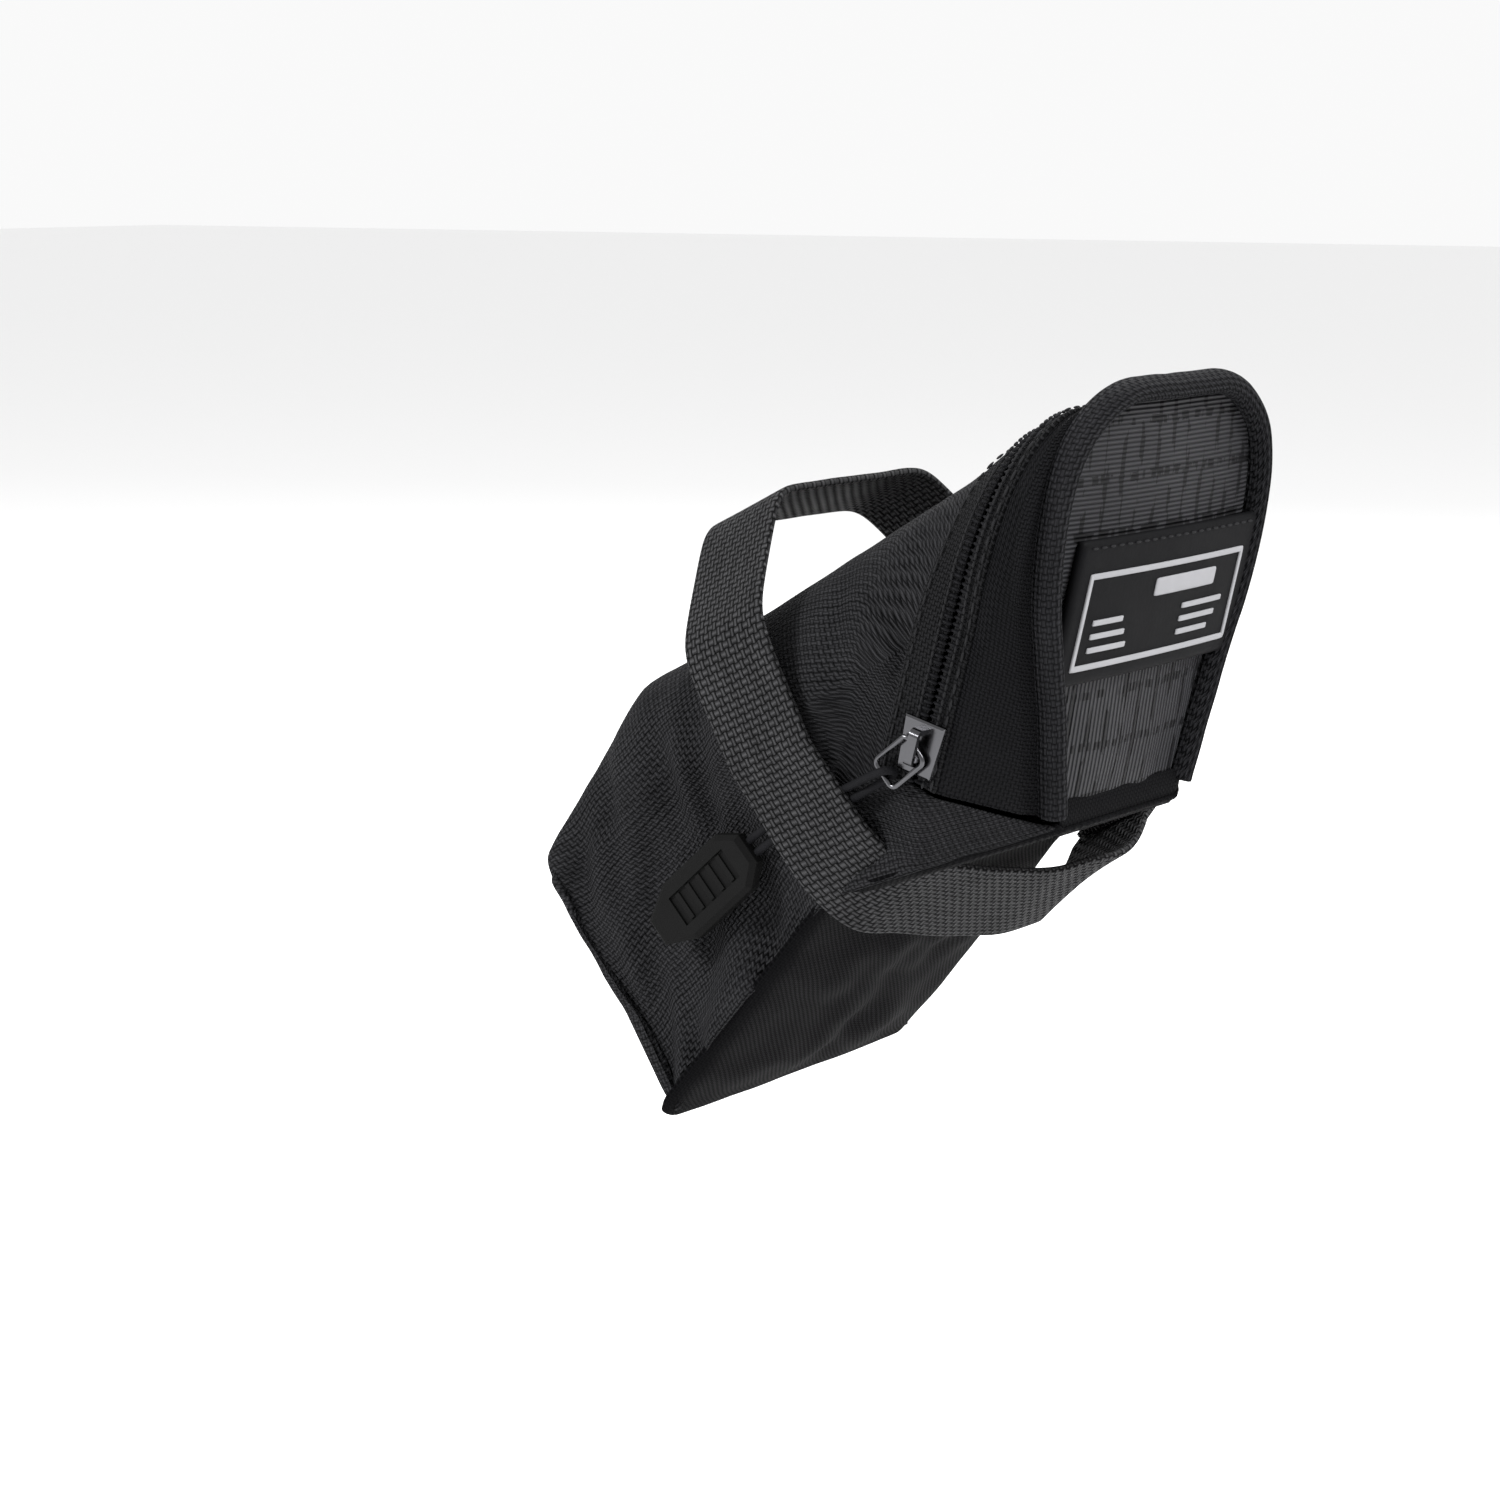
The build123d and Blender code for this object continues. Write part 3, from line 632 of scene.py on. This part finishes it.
# %% Base panel
def base_grid(n_across=31):
    t = np.linspace(0, 1, 64)
    u = np.interp(t, np.linspace(0, 1, ROWS), low[:, 0])
    v = np.interp(t, np.linspace(0, 1, ROWS), low[:, 1])
    f = np.linspace(-1, 1, n_across)
    width = side_width(u, v) - 0.35 - 1.6 * np.clip((5.0 - u) / 5.0, 0, 1)
    grid = np.zeros((64, n_across, 3))
    grid[..., 0] = (u + 1.5 * np.clip((5.0 - u) / 5.0, 0, 1))[:, None]
    grid[..., 1] = width[:, None] * f[None]
    grid[..., 2] = v[:, None] + 0.2
    free = np.clip(np.minimum((u + 0.5) / 14, (56 - u) / 12), 0, 1)
    crown = (1 - np.abs(f) ** 2.6)[None] * free[:, None]
    crease = soft_noise(np.stack([grid[..., 0] * 0.6, grid[..., 1], grid[..., 2] * 0], -1), 13, 11)
    slant = grid[..., 0] * 1.6 + grid[..., 1] * 0.5
    ripple = soft_noise(np.stack([slant, grid[..., 1] * 0.35, slant * 0], -1), 9, 4)
    grid[..., 2] -= crown * (3.6 + 2.2 * crease + 1.2 * ripple)
    grid[:, 0, 2] += 1.6
    grid[:, -1, 2] += 1.6
    grid[:, 0, 1] *= 0.985
    grid[:, -1, 1] *= 0.985
    return grid


base_skin = cloth("base_skin", base_grid(), thickness=1.2, levels=1)
base_skin.data.materials.append(base_cloth)
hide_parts("base_panel")
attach(base_skin, "bag")
print("base drops to", round(min(v.co.z for v in base_skin.data.vertices), 4))

# %% [markdown]
# ## The cap: gusset, piping and rear panel
# Behind the zipper a narrow gusset leads to a fat rolled edge. The roll is a knit binding over a foam cord, so it
# is swept as a rounded profile round the same loops. The rear panel sits a little inside it, crowned.

# %% Gusset
def between(line_a, line_b, n):
    rows = []
    for t in np.linspace(0, 1, n):
        rows.append((line_a[0] * (1 - t) + line_b[0] * t, line_a[1] * (1 - t) + line_b[1] * t))
    return rows


gusset = strip(between(mouth_line(3.8), rear_line(-4.3), 12), n_side=34)
slack = soft_noise(gusset * np.array([1, 0.3, 0.6]), 11, 8)
hold = np.sin(np.linspace(0, math.pi, 12))[:, None]
gusset = gusset + outward(gusset) * (hold * (slack * 0.8 - 0.3))[..., None]
REAR_OUT = np.array([REAR_FACE[0], 0.0, REAR_FACE[1]])
turned_in = section(*rear_line(-0.5), n_side=34)
gusset = np.concatenate([gusset, (turned_in - REAR_OUT * 3.0)[None], (turned_in - REAR_OUT * 1.2)[None]])
gusset_skin = cloth("gusset_skin", gusset, thickness=1.2, levels=1)
gusset_skin.data.materials.append(smooth_cloth)
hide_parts("cap_gusset")
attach(gusset_skin, "rear_cap")
print("gusset faces", len(gusset_skin.data.polygons))

# %% Rolled edge


def in_plane_out(loop):
    run = np.gradient(loop, axis=0)
    out = np.cross(run, REAR_OUT)
    out /= np.linalg.norm(out, axis=-1, keepdims=True)
    if ((loop - loop.mean(0)) * out).sum() < 0:
        out = -out
    return out


def rolled_edge():
    """The roll's outline, turned round the cap: e is along the rear direction, h outwards."""
    turn = np.linspace(0, 2 * math.pi, 15)[:-1]
    base = section(*rear_line(-0.5), n_side=60, n_corner=22, n_top=30)
    out = in_plane_out(base)
    n = len(base)
    wobble = soft_noise(base, 7.0, 21) * 0.25
    rows = []
    for a in turn:
        e = -1.6 + 3.3 * math.cos(a)
        h = -0.9 + 2.5 * math.sin(a)
        rows.append(base + REAR_OUT * (e + 0.5) + out * (h + wobble[:, None]))
    return np.stack(rows + rows[:1])


roll = rolled_edge()
roll_skin = cloth("rolled_edge", roll.transpose(1, 0, 2), thickness=0, levels=1)


def cap_ends(obj, name):
    """Closes the open ends of a tube and welds its seam."""
    bm = bmesh.new()
    bm.from_mesh(obj.data)
    bmesh.ops.remove_doubles(bm, verts=bm.verts, dist=1e-6)
    open_edges = [e for e in bm.edges if e.is_boundary]
    bmesh.ops.holes_fill(bm, edges=open_edges, sides=40)
    bmesh.ops.recalc_face_normals(bm, faces=bm.faces)
    bm.to_mesh(obj.data)
    bm.free()
    obj.data.polygons.foreach_set("use_smooth", [True] * len(obj.data.polygons))
    print(name, "closed")


cap_ends(roll_skin, "rolled edge")
roll_skin.data.materials.append(knit_cloth)
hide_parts("cap_piping")
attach(roll_skin, "rear_cap")

# %% Rear panel
PANEL_TOP = float(np.linalg.norm(rear_line(0)[1] - REAR_FOOT)) - 2.6


def panel_point(f, up, lift=0.0):
    """Point of the rear panel: f from -1 to 1 across, up the rear plane, lift off it."""
    u = REAR_FOOT[0] + REAR_RUN[0] * up + REAR_FACE[0] * lift
    v = REAR_FOOT[1] + REAR_RUN[1] * up + REAR_FACE[1] * lift
    depth = below_top(u, v)
    into = REAR_ROUND - np.clip(depth, 0, REAR_ROUND)
    inset = REAR_ROUND - np.sqrt(np.maximum(REAR_ROUND**2 - into**2, 0))
    width = side_width(u, v) - inset - 3.0
    return u, f * width, v


def panel_crown(f, up):
    """How far the panel stands off its plane: stuffed in the middle, pulled in at its edges."""
    rise = np.clip((PANEL_TOP - up) / 24, 0, 1) ** 0.6 * np.clip(up / 16, 0, 1) ** 0.6
    return -2.0 + 1.7 * (1 - np.abs(f) ** 2.4) * rise


def panel_grid():
    """Rows up the panel, closing in towards the top with the rounded outline."""
    closing = 58 + (PANEL_TOP - 58) * np.sin(np.linspace(0.08, 1, 28) * math.pi / 2)
    ups = np.concatenate([np.linspace(2.5, 58, 40), closing])
    f = np.linspace(-1, 1, 41)
    U, F = np.meshgrid(ups, f, indexing="ij")
    u, y, v = panel_point(F, U)
    grid = np.stack([u, y, v], -1)
    pucker = soft_noise(np.stack([y * 0.9, U * 0.35, U * 0], -1), 8, 31) * np.clip((32 - U) / 20, 0, 1)
    ease = soft_noise(np.stack([y, U, U * 0], -1), 18, 33) * 0.5
    ease = ease * np.clip(1 - F**2, 0, 1) * np.clip((U - 64) / 10, 0, 1)
    grid += REAR_OUT * (panel_crown(F, U) + pucker * 0.5 + ease)[..., None]
    uv = np.stack([U, y + 45], -1) / 1000.0
    return grid, uv


panel, panel_uv = panel_grid()
panel_skin = cloth("rear_panel_skin", panel, thickness=1.4, levels=1, uv=panel_uv)
here = panel_skin.data.polygons[len(panel_skin.data.polygons) // 2].normal
if here.dot(Vector((placed(np.array([63, 0, 104]) + REAR_OUT) * 1000).tolist())) < 0:
    panel_skin.data.flip_normals()
panel_skin.data.materials.append(ripstop_cloth)
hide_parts("rear_panel")
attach(panel_skin, "rear_cap")
print("rear panel faces", len(panel_skin.data.polygons))

# %% [markdown]
# ## Zipper tapes
# A zipper is two woven tapes with a nylon coil sewn along each inner edge. Each tape is a narrow strip of the same
# wedge. The body's tape laps the pouch and is held by a row of stitches, so it stands a little proud there.

# %% Two tapes
def tape(name, e_outer, e_inner, node, body):
    t = np.linspace(0, 1, 8)
    rows = [mouth_line(e_outer * (1 - k) + e_inner * k) for k in t]
    grid = strip(rows, n_side=40)
    lift = 0.35 + 0.25 * t**3 + 0.2 * np.sin(t * math.pi)
    ripple = soft_noise(grid * np.array([1, 0.3, 1]), 9, 41) * 0.15
    grid = grid + outward(grid) * (lift[:, None] + ripple)[..., None]
    piece = cloth(name, grid, thickness=0.8, levels=1)
    piece.data.materials.append(tape_cloth)
    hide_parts(node)
    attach(piece, body)
    print(name, "is", abs(e_outer - e_inner), "mm wide")


tape("body_tape", -8.4, -0.5, "body_zipper_tape", "bag")
tape("cap_tape", 4.6, 0.5, "cap_zipper_tape", "rear_cap")

# %% [markdown]
# ## Things that repeat: coil turns and stitches
# A coil's turns and a seam's stitches are the same small shape over and over along a path, which is what Geometry
# Nodes are for. The path is a cloud of points, and each point carries two directions: the way the seam runs and
# the way the cloth faces. One tree turns a small rounded bar both ways and drops it on every point.

# %% The tree
def bar_tree():
    tree = bpy.data.node_groups.new("bars_along_path", "GeometryNodeTree")
    face = tree.interface
    face.new_socket("Geometry", in_out="INPUT", socket_type="NodeSocketGeometry")
    for label in ("Length", "Width", "Height"):
        face.new_socket(label, in_out="INPUT", socket_type="NodeSocketFloat")
    face.new_socket("Material", in_out="INPUT", socket_type="NodeSocketMaterial")
    face.new_socket("Geometry", in_out="OUTPUT", socket_type="NodeSocketGeometry")
    new, link = tree.nodes.new, tree.links.new
    given, result = new("NodeGroupInput"), new("NodeGroupOutput")
    bar = new("GeometryNodeMeshUVSphere")
    bar.inputs["Segments"].default_value = 8
    bar.inputs["Rings"].default_value = 6
    bar.inputs["Radius"].default_value = 0.5
    size = new("ShaderNodeCombineXYZ")
    for axis, label in zip("XYZ", ("Length", "Width", "Height")):
        link(given.outputs[label], size.inputs[axis])
    shaped = new("GeometryNodeTransform")
    link(bar.outputs["Mesh"], shaped.inputs["Geometry"])
    link(size.outputs[0], shaped.inputs["Scale"])
    turn = None
    for label, axis, pivot in (("run", "X", "AUTO"), ("face_out", "Z", "X")):
        read = new("GeometryNodeInputNamedAttribute")
        read.data_type = "FLOAT_VECTOR"
        read.inputs["Name"].default_value = label
        align = new("FunctionNodeAlignRotationToVector")
        align.axis = axis
        align.pivot_axis = pivot
        link(read.outputs["Attribute"], align.inputs["Vector"])
        if turn:
            link(turn.outputs["Rotation"], align.inputs["Rotation"])
        turn = align
    place_bars = new("GeometryNodeInstanceOnPoints")
    link(given.outputs["Geometry"], place_bars.inputs["Points"])
    link(shaped.outputs["Geometry"], place_bars.inputs["Instance"])
    link(turn.outputs["Rotation"], place_bars.inputs["Rotation"])
    real = new("GeometryNodeRealizeInstances")
    link(place_bars.outputs[0], real.inputs[0])
    smooth = new("GeometryNodeSetShadeSmooth")
    link(real.outputs[0], smooth.inputs["Geometry"])
    painted = new("GeometryNodeSetMaterial")
    link(smooth.outputs[0], painted.inputs["Geometry"])
    link(given.outputs["Material"], painted.inputs["Material"])
    link(painted.outputs[0], result.inputs[0])
    return tree


BARS = bar_tree()
print("bar tree has", len(BARS.nodes), "nodes")


# %% Bars along a path
def bars(name, points, runs, outs, size, material, body, replaced=None):
    """A rounded bar, size = (length, width, height) in mm, at each point of the bag's own frame."""
    mesh = bpy.data.meshes.new(name + "_points")
    mesh.from_pydata(placed(points).tolist(), [], [])
    origin = placed([0.0, 0.0, 0.0])
    for label, vectors in (("run", runs), ("face_out", outs)):
        layer = mesh.attributes.new(label, "FLOAT_VECTOR", "POINT")
        turned = placed(vectors) - origin
        layer.data.foreach_set("vector", turned.astype(np.float32).ravel())
    carrier = bpy.data.objects.new(name + "_points", mesh)
    bpy.context.scene.collection.objects.link(carrier)
    mod = carrier.modifiers.new("bars", "NODES")
    mod.node_group = BARS
    values = dict(zip(("Length", "Width", "Height"), [s / 1000 for s in size]))
    values["Material"] = material
    for item in BARS.interface.items_tree:
        if item.in_out == "INPUT" and item.name in values:
            mod[item.identifier] = values[item.name]
    depsgraph = bpy.context.evaluated_depsgraph_get()
    made = bpy.data.meshes.new_from_object(carrier.evaluated_get(depsgraph), depsgraph=depsgraph)
    made.name = name
    piece = bpy.data.objects.new(name, made)
    bpy.context.scene.collection.objects.link(piece)
    bpy.data.objects.remove(carrier)
    if not made.materials:
        made.materials.append(material)
    if replaced:
        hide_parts(replaced)
    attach(piece, body)
    print(name, len(points), "bars,", len(made.polygons), "faces")
    return piece


def even(points, outs, pitch, start=0.0):
    """Evenly spaced points, runs and outward directions along a path."""
    d = np.concatenate([[0], np.cumsum(np.linalg.norm(np.diff(points, axis=0), axis=1))])
    at = np.arange(start, d[-1], pitch)
    pick = lambda a: np.stack([np.interp(at, d, a[:, k]) for k in range(3)], -1)
    here, facing = pick(points), pick(outs)
    run = np.gradient(here, axis=0)
    run /= np.linalg.norm(run, axis=1, keepdims=True)
    facing /= np.linalg.norm(facing, axis=1, keepdims=True)
    return here, run, facing


def zip_path(e, lift):
    """The line round the mouth, e millimetres beside the zipper and lifted off the cloth."""
    grid = strip([mouth_line(e - 0.4), mouth_line(e), mouth_line(e + 0.4)], n_side=60, n_corner=24, n_top=40)
    outs = outward(grid)[1]
    return grid[1] + outs * lift, outs


# %% Coil turns
PITCH_COIL = 1.3
for label, e, body, node, start in (("body_coil", -1.35, "bag", "body_zipper_coil", 0.0),
                                    ("cap_coil", 1.35, "rear_cap", "cap_zipper_coil", PITCH_COIL / 2)):
    line, outs = zip_path(e, 0.45)
    here, run, facing = even(line, outs, PITCH_COIL, start)
    across = np.cross(run, facing)
    bars(label, here, across, facing, (2.9, 0.85, 1.3), coil_plastic, body, node)

# %% Rows of stitches
SEAMS = (("coil_stitch_body", -2.2, 1.15, 1.5, (1.5, 0.55, 0.6), "bag"),
         ("coil_stitch_cap", 2.2, 1.15, 1.5, (1.5, 0.55, 0.6), "rear_cap"),
         ("tape_stitch_body", -7.0, 0.75, 3.2, (2.4, 0.5, 0.5), "bag"),
         ("tape_stitch_cap", 3.7, 0.8, 3.2, (2.4, 0.5, 0.5), "rear_cap"))
for label, e, lift, pitch, size, body in SEAMS:
    line, outs = zip_path(e, lift)
    here, run, facing = even(line, outs, pitch, pitch / 2)
    bars(label, here, run, facing, size, thread_finish, body)

# %% [markdown]
# ## The fold under the cap
# Where the rear panel turns under into the base, the cloth is one piece that folds. It is a short strip across the
# foot; on the real bag it bends between the bag and the cap when the cap opens.

# %% Fold cloth
ups = np.linspace(-1.2, 6.0, 12)
f = np.linspace(-1, 1, 33)
U, F = np.meshgrid(ups, f, indexing="ij")
fu = REAR_FOOT[0] + REAR_RUN[0] * U
fv = REAR_FOOT[1] + REAR_RUN[1] * U
fold_grid = np.stack([fu, F * (side_width(fu, fv) - 1.0), fv], -1)
fold_grid += REAR_OUT * (-1.3 + 0.9 * np.sin(np.clip((U + 1.2) / 7.2, 0, 1) * math.pi))[..., None]
fold_cloth = cloth("fold_cloth", fold_grid, thickness=1.0, levels=0)
fold_cloth.data.materials.append(base_cloth)
for mod in list(fold_cloth.modifiers):
    with bpy.context.temp_override(object=fold_cloth, active_object=fold_cloth):
        bpy.ops.object.modifier_apply(modifier=mod.name)
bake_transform(fold_cloth)
print("fold cloth", len(fold_cloth.data.polygons), "faces")

# %% [markdown]
# ## The label
# A moulded rubber patch is sewn to the rear panel along its upper margin. Rubber is stiffer than cloth, so the
# patch has a slight crown of its own, and it leans a little to one side. Its raised frame and plain bars are
# separate pale pieces.

# %% Patches on the panel
LABEL_UP, LABEL_WIDE, LABEL_TALL = 43.5, 70.0, 28.0
LABEL_LEAN, LABEL_ASIDE = 0.18, 1.8


def label_patch(name, x0, x1, z0, z1, lift, thickness, material, nx=24, nz=10):
    """A patch of the label, in millimetres from its centre, lifted off the panel."""
    x = np.linspace(x0, x1, nx)
    z = np.linspace(z0, z1, nz)
    Z, X = np.meshgrid(z, x, indexing="ij")
    up = LABEL_UP + Z
    sag = 1.0 * (1 - (X / 36) ** 2) * (1 - (Z / 30) ** 2) - 0.9
    out = lift + sag
    u = REAR_FOOT[0] + REAR_RUN[0] * up + REAR_FACE[0] * out
    v = REAR_FOOT[1] + REAR_RUN[1] * up + REAR_FACE[1] * out
    piece = cloth(name, np.stack([u, X + LABEL_LEAN * Z + LABEL_ASIDE, v], -1), thickness=thickness, levels=1)
    facing = piece.data.polygons[len(piece.data.polygons) // 2].normal
    if facing.dot(Vector((placed(np.array([63, 0, 104]) + REAR_OUT) * 1000).tolist())) < 0:
        piece.data.flip_normals()
    piece.data.materials.append(material)
    return piece


half_wide, half_tall = LABEL_WIDE / 2, LABEL_TALL / 2
backing = label_patch("label_patch", -half_wide, half_wide, -half_tall, half_tall, 1.5, 2.2, label_rubber, 34, 16)
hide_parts("label_backing")
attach(backing, "rear_cap")


# %% Raised frame and bars
def joined(name, parts, node, body="rear_cap"):
    """Several finished pieces as one mesh."""
    depsgraph = bpy.context.evaluated_depsgraph_get()
    bm = bmesh.new()
    for part in parts:
        flat = bpy.data.meshes.new_from_object(part.evaluated_get(depsgraph), depsgraph=depsgraph)
        bm.from_mesh(flat)
    mesh = bpy.data.meshes.new(name)
    bm.to_mesh(mesh)
    bm.free()
    mesh.materials.append(parts[0].data.materials[0])
    mesh.polygons.foreach_set("use_smooth", [True] * len(mesh.polygons))
    for part in parts:
        bpy.data.objects.remove(part)
    piece = bpy.data.objects.new(name, mesh)
    bpy.context.scene.collection.objects.link(piece)
    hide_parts(node)
    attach(piece, body)
    print(name, len(mesh.polygons), "faces")
    return piece


FRAME_X, FRAME_LOW, FRAME_HIGH, LINE = 30.5, -11.0, 7.6, 1.2
frame_bars = (("frame_low", -FRAME_X, FRAME_X, FRAME_LOW, FRAME_LOW + LINE),
              ("frame_high", -FRAME_X, FRAME_X, FRAME_HIGH - LINE, FRAME_HIGH),
              ("frame_left", -FRAME_X, -FRAME_X + LINE, FRAME_LOW, FRAME_HIGH),
              ("frame_right", FRAME_X - LINE, FRAME_X, FRAME_LOW, FRAME_HIGH))
sides = []
for n, a, b, c, d in frame_bars:
    across, up = (26, 4) if b - a > 9 else (4, 14)
    sides.append(label_patch(n, a, b, c, d, 1.85, 0.6, label_print, across, up))
joined("label_frame", sides, "label_border")
plain_bars = [("mark_main", -5.0, 20.0, 1.0, 4.6)]
for row, height in enumerate((-2.6, -5.2, -7.8)):
    plain_bars.append((f"mark_left_{row}", -26.0, -15.0 + row * 1.5, height, height + 1.1))
    plain_bars.append((f"mark_right_{row}", 8.0, 25.0 - row * 2.0, height, height + 1.1))
marks = [label_patch(n, a, b, c, d, 1.85, 0.6, label_print, 12, 6) for n, a, b, c, d in plain_bars]
joined("label_bars", marks, "label_relief")

# %% Label stitches
stitch_x = np.arange(-31.0, 31.1, 3.1)
margin = LABEL_TALL / 2 - 1.6
up = LABEL_UP + margin
out = 1.6 + 1.0 * (1 - (stitch_x / 36) ** 2) * (1 - (margin / 30) ** 2) - 0.9
stitch_u = REAR_FOOT[0] + REAR_RUN[0] * up + REAR_FACE[0] * out
stitch_v = REAR_FOOT[1] + REAR_RUN[1] * up + REAR_FACE[1] * out
here = np.stack([stitch_u, stitch_x + LABEL_LEAN * margin + LABEL_ASIDE, stitch_v], -1)
count = (len(stitch_x), 1)
runs, outs = np.tile([0.0, 1.0, 0.0], count), np.tile(REAR_OUT, count)
bars("label_stitch_top", here, runs, outs, (2.2, 0.55, 0.55), thread_finish, "rear_cap")

# %% [markdown]
# ## The strap
# The strap is one length of coarse webbing. Its middle line is written as points (y, v) from the free end's upper
# layer, up the bag's right side, over the rails, down the left side and under the base. Under the base it twists,
# with its front edge lower, and easing the corners of that line gives webbing's own soft bends.

# %% Webbing
RIGHT_SIDE = [(80.0, 32.3), (58.0, 26.0), (50.8, 27.2), (48.4, 33.0), (48.4, 78.0)]
OVER_RAILS = [(27.0, 104.8), (-27.0, 104.8)]
LEFT_SIDE = [(-49.8, 80.0), (-50.0, 42.0), (-48.6, 30.0), (-40.0, 22.4)]
UNDER_BASE = [(-12.0, 17.0), (14.0, 13.2), (34.0, 13.0), (48.0, 16.8), (55.4, 21.6)]
STRAP_LINE = RIGHT_SIDE + OVER_RAILS + LEFT_SIDE + UNDER_BASE
STRAP_WIDE = 20.0


def strap_grid(line, rounds, n, twisted=True):
    """Rows along the strap's middle line, each turned and shifted as the webbing lies."""
    path = softened(flat_line(line, n), rounds)
    y, v = path[:, 0], path[:, 1]
    under = np.clip((45.0 - v) / 22.0, 0, 1) * np.clip((50.0 - y) / 14.0, 0, 1)
    shift = 5.0 * np.clip((55.0 - v) / 25.0, 0, 1) * np.clip((20.0 - y) / 50.0, 0, 1)
    turn = np.radians(22.0) * under * np.clip((-y + 50.0) / 20.0, 0, 1) * (v < 45) if twisted else 0 * y
    width = np.linspace(-STRAP_WIDE / 2, STRAP_WIDE / 2, 15)
    sway = soft_noise(np.stack([y, v, v * 0], -1), 26, 51) * 0.7
    grid = np.zeros((n, 15, 3))
    grid[..., 0] = 63.0 + (shift + sway)[:, None] + np.cos(turn)[:, None] * width
    grid[..., 1] = y[:, None]
    grid[..., 2] = v[:, None] + np.sin(turn)[:, None] * width
    return grid


strap = strap_grid(STRAP_LINE, 40, 420)
dip = outward(strap) * (0.25 * soft_noise(strap, 12, 53))[..., None]
strap_skin = cloth("strap_webbing", strap + dip, thickness=1.6, levels=1, offset=0.0)
strap_skin.data.materials.append(webbing_cloth)
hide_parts("strap_band")
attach(strap_skin, "bag")
print("strap is", round(float(lengths(strap, 0)[-1, 7])), "mm long")

# %% Free end and its hook layer
TAIL_LINE = [(55.2, 21.4), (64.0, 24.6), (81.0, 29.6)]
tail = strap_grid(TAIL_LINE, 4, 60, twisted=False)
tail_skin = cloth("strap_end_webbing", tail, thickness=1.5, levels=1, offset=0.0)
tail_skin.data.materials.append(webbing_cloth)
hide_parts("strap_tail")
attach(tail_skin, "strap_end")
hook_cloth = woven("hook_cloth", (0.001, 0.001, 0.001), (0.008, 0.008, 0.009), (0.0009, 0.0009),
                   relief=0.0007, sheen=0.3)[0]
fuzz = strap_grid([(57.5, 23.8), (66.0, 26.6), (79.6, 30.6)], 4, 70, twisted=False)
fuzz[..., 0] = 63.0 + (fuzz[..., 0] - 63.0) * 0.9
fuzz[..., 2] += 0.15 * soft_noise(fuzz, 0.9, 61)
hook_skin = cloth("hook_layer", fuzz, thickness=0.9, levels=0, offset=0.0)
hook_skin.data.materials.append(hook_cloth)
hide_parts("strap_hook_patch")
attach(hook_skin, "strap_end")

# %% Keeper
k = np.linspace(48.0, 78.0, 40)
rise = np.clip(np.minimum(k - 48.0, 78.0 - k) / 4.5, 0, 1)
rise = rise * rise * (3 - 2 * rise)
V, K = np.meshgrid(np.linspace(42.0, 54.0, 9), k, indexing="ij")
keeper = np.stack([K, HALF + 0.5 + 3.0 * rise[None] + 0 * V, V], -1)
keeper_skin = cloth("keeper_webbing", keeper.transpose(1, 0, 2), thickness=0.9, levels=1, offset=0.0)
keeper_skin.data.materials.append(webbing_cloth)
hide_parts("strap_keeper")
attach(keeper_skin, "bag")
print("keeper stands", 3.0, "mm off the side")

# %% [markdown]
# ## Slider, ring and puller
# The cast slider, its bridge and the wire ring are exact already, so they keep their own shape and take the plated
# metal. The cord is thin braid looped through the ring, drawn as one smooth curve through the route's own points.

# %% Metal
for node in ("slider_body", "slider_bridge", "pull_ring"):
    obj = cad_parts[node]
    obj.data.materials.clear()
    obj.data.materials.append(dark_metal)
for node, look in (("puller_tab", tab_rubber), ("base_stiffener", board_finish)):
    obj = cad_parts[node]
    obj.data.materials.clear()
    obj.data.materials.append(look)

# %% Cord
CORD_ROUTE = [(49.64, -48.15, 42.35), (54.47, -48.15, 43.65), (74.0, -48.15, 43.44), (84.55, -51.5, 43.32),
              (87.75, -51.5, 42.9), (87.75, -48.5, 42.06), (84.55, -48.5, 41.64), (74.0, -48.15, 40.92),
              (55.19, -48.15, 40.94), (50.36, -48.15, 39.65)]
curve = bpy.data.curves.new("puller_braid", "CURVE")
curve.dimensions = "3D"
curve.bevel_depth = 0.0008
curve.bevel_resolution = 4
curve.use_fill_caps = True
line = curve.splines.new("NURBS")
line.points.add(len(CORD_ROUTE) - 1)
for point, where in zip(line.points, CORD_ROUTE):
    point.co = (*spot(*where), 1)
line.order_u = 3
line.use_endpoint_u = True
line.resolution_u = 12
braid = bpy.data.objects.new("puller_braid", curve)
bpy.context.scene.collection.objects.link(braid)
cord_finish = plain("cord_finish", (0.008, 0.008, 0.009), 0.65, grain=1500, relief=0.0002, wear=0.5)
curve.materials.append(cord_finish)
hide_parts("puller_cord")
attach(braid, "puller")

# %% [markdown]
# ## Inner pocket
# A mesh pocket is sewn inside the right side panel. It only shows when the cap is open.

# %% Pocket
pu = np.linspace(26, 66, 30)
pv = np.linspace(32, 47, 14)
PV, PU = np.meshgrid(pv, pu, indexing="ij")
belly = np.sin((PU - 26) / 40 * math.pi) ** 0.6 * np.clip((PV - 32) / 6, 0, 1)
pocket = np.stack([PU, HALF - 2.5 - 2.0 * belly, PV], -1)
pocket_skin = cloth("pocket_mesh", pocket, thickness=0.6, levels=1, offset=0.0)
pocket_skin.data.materials.append(smooth_cloth)
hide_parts("inner_pocket")
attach(pocket_skin, "bag")
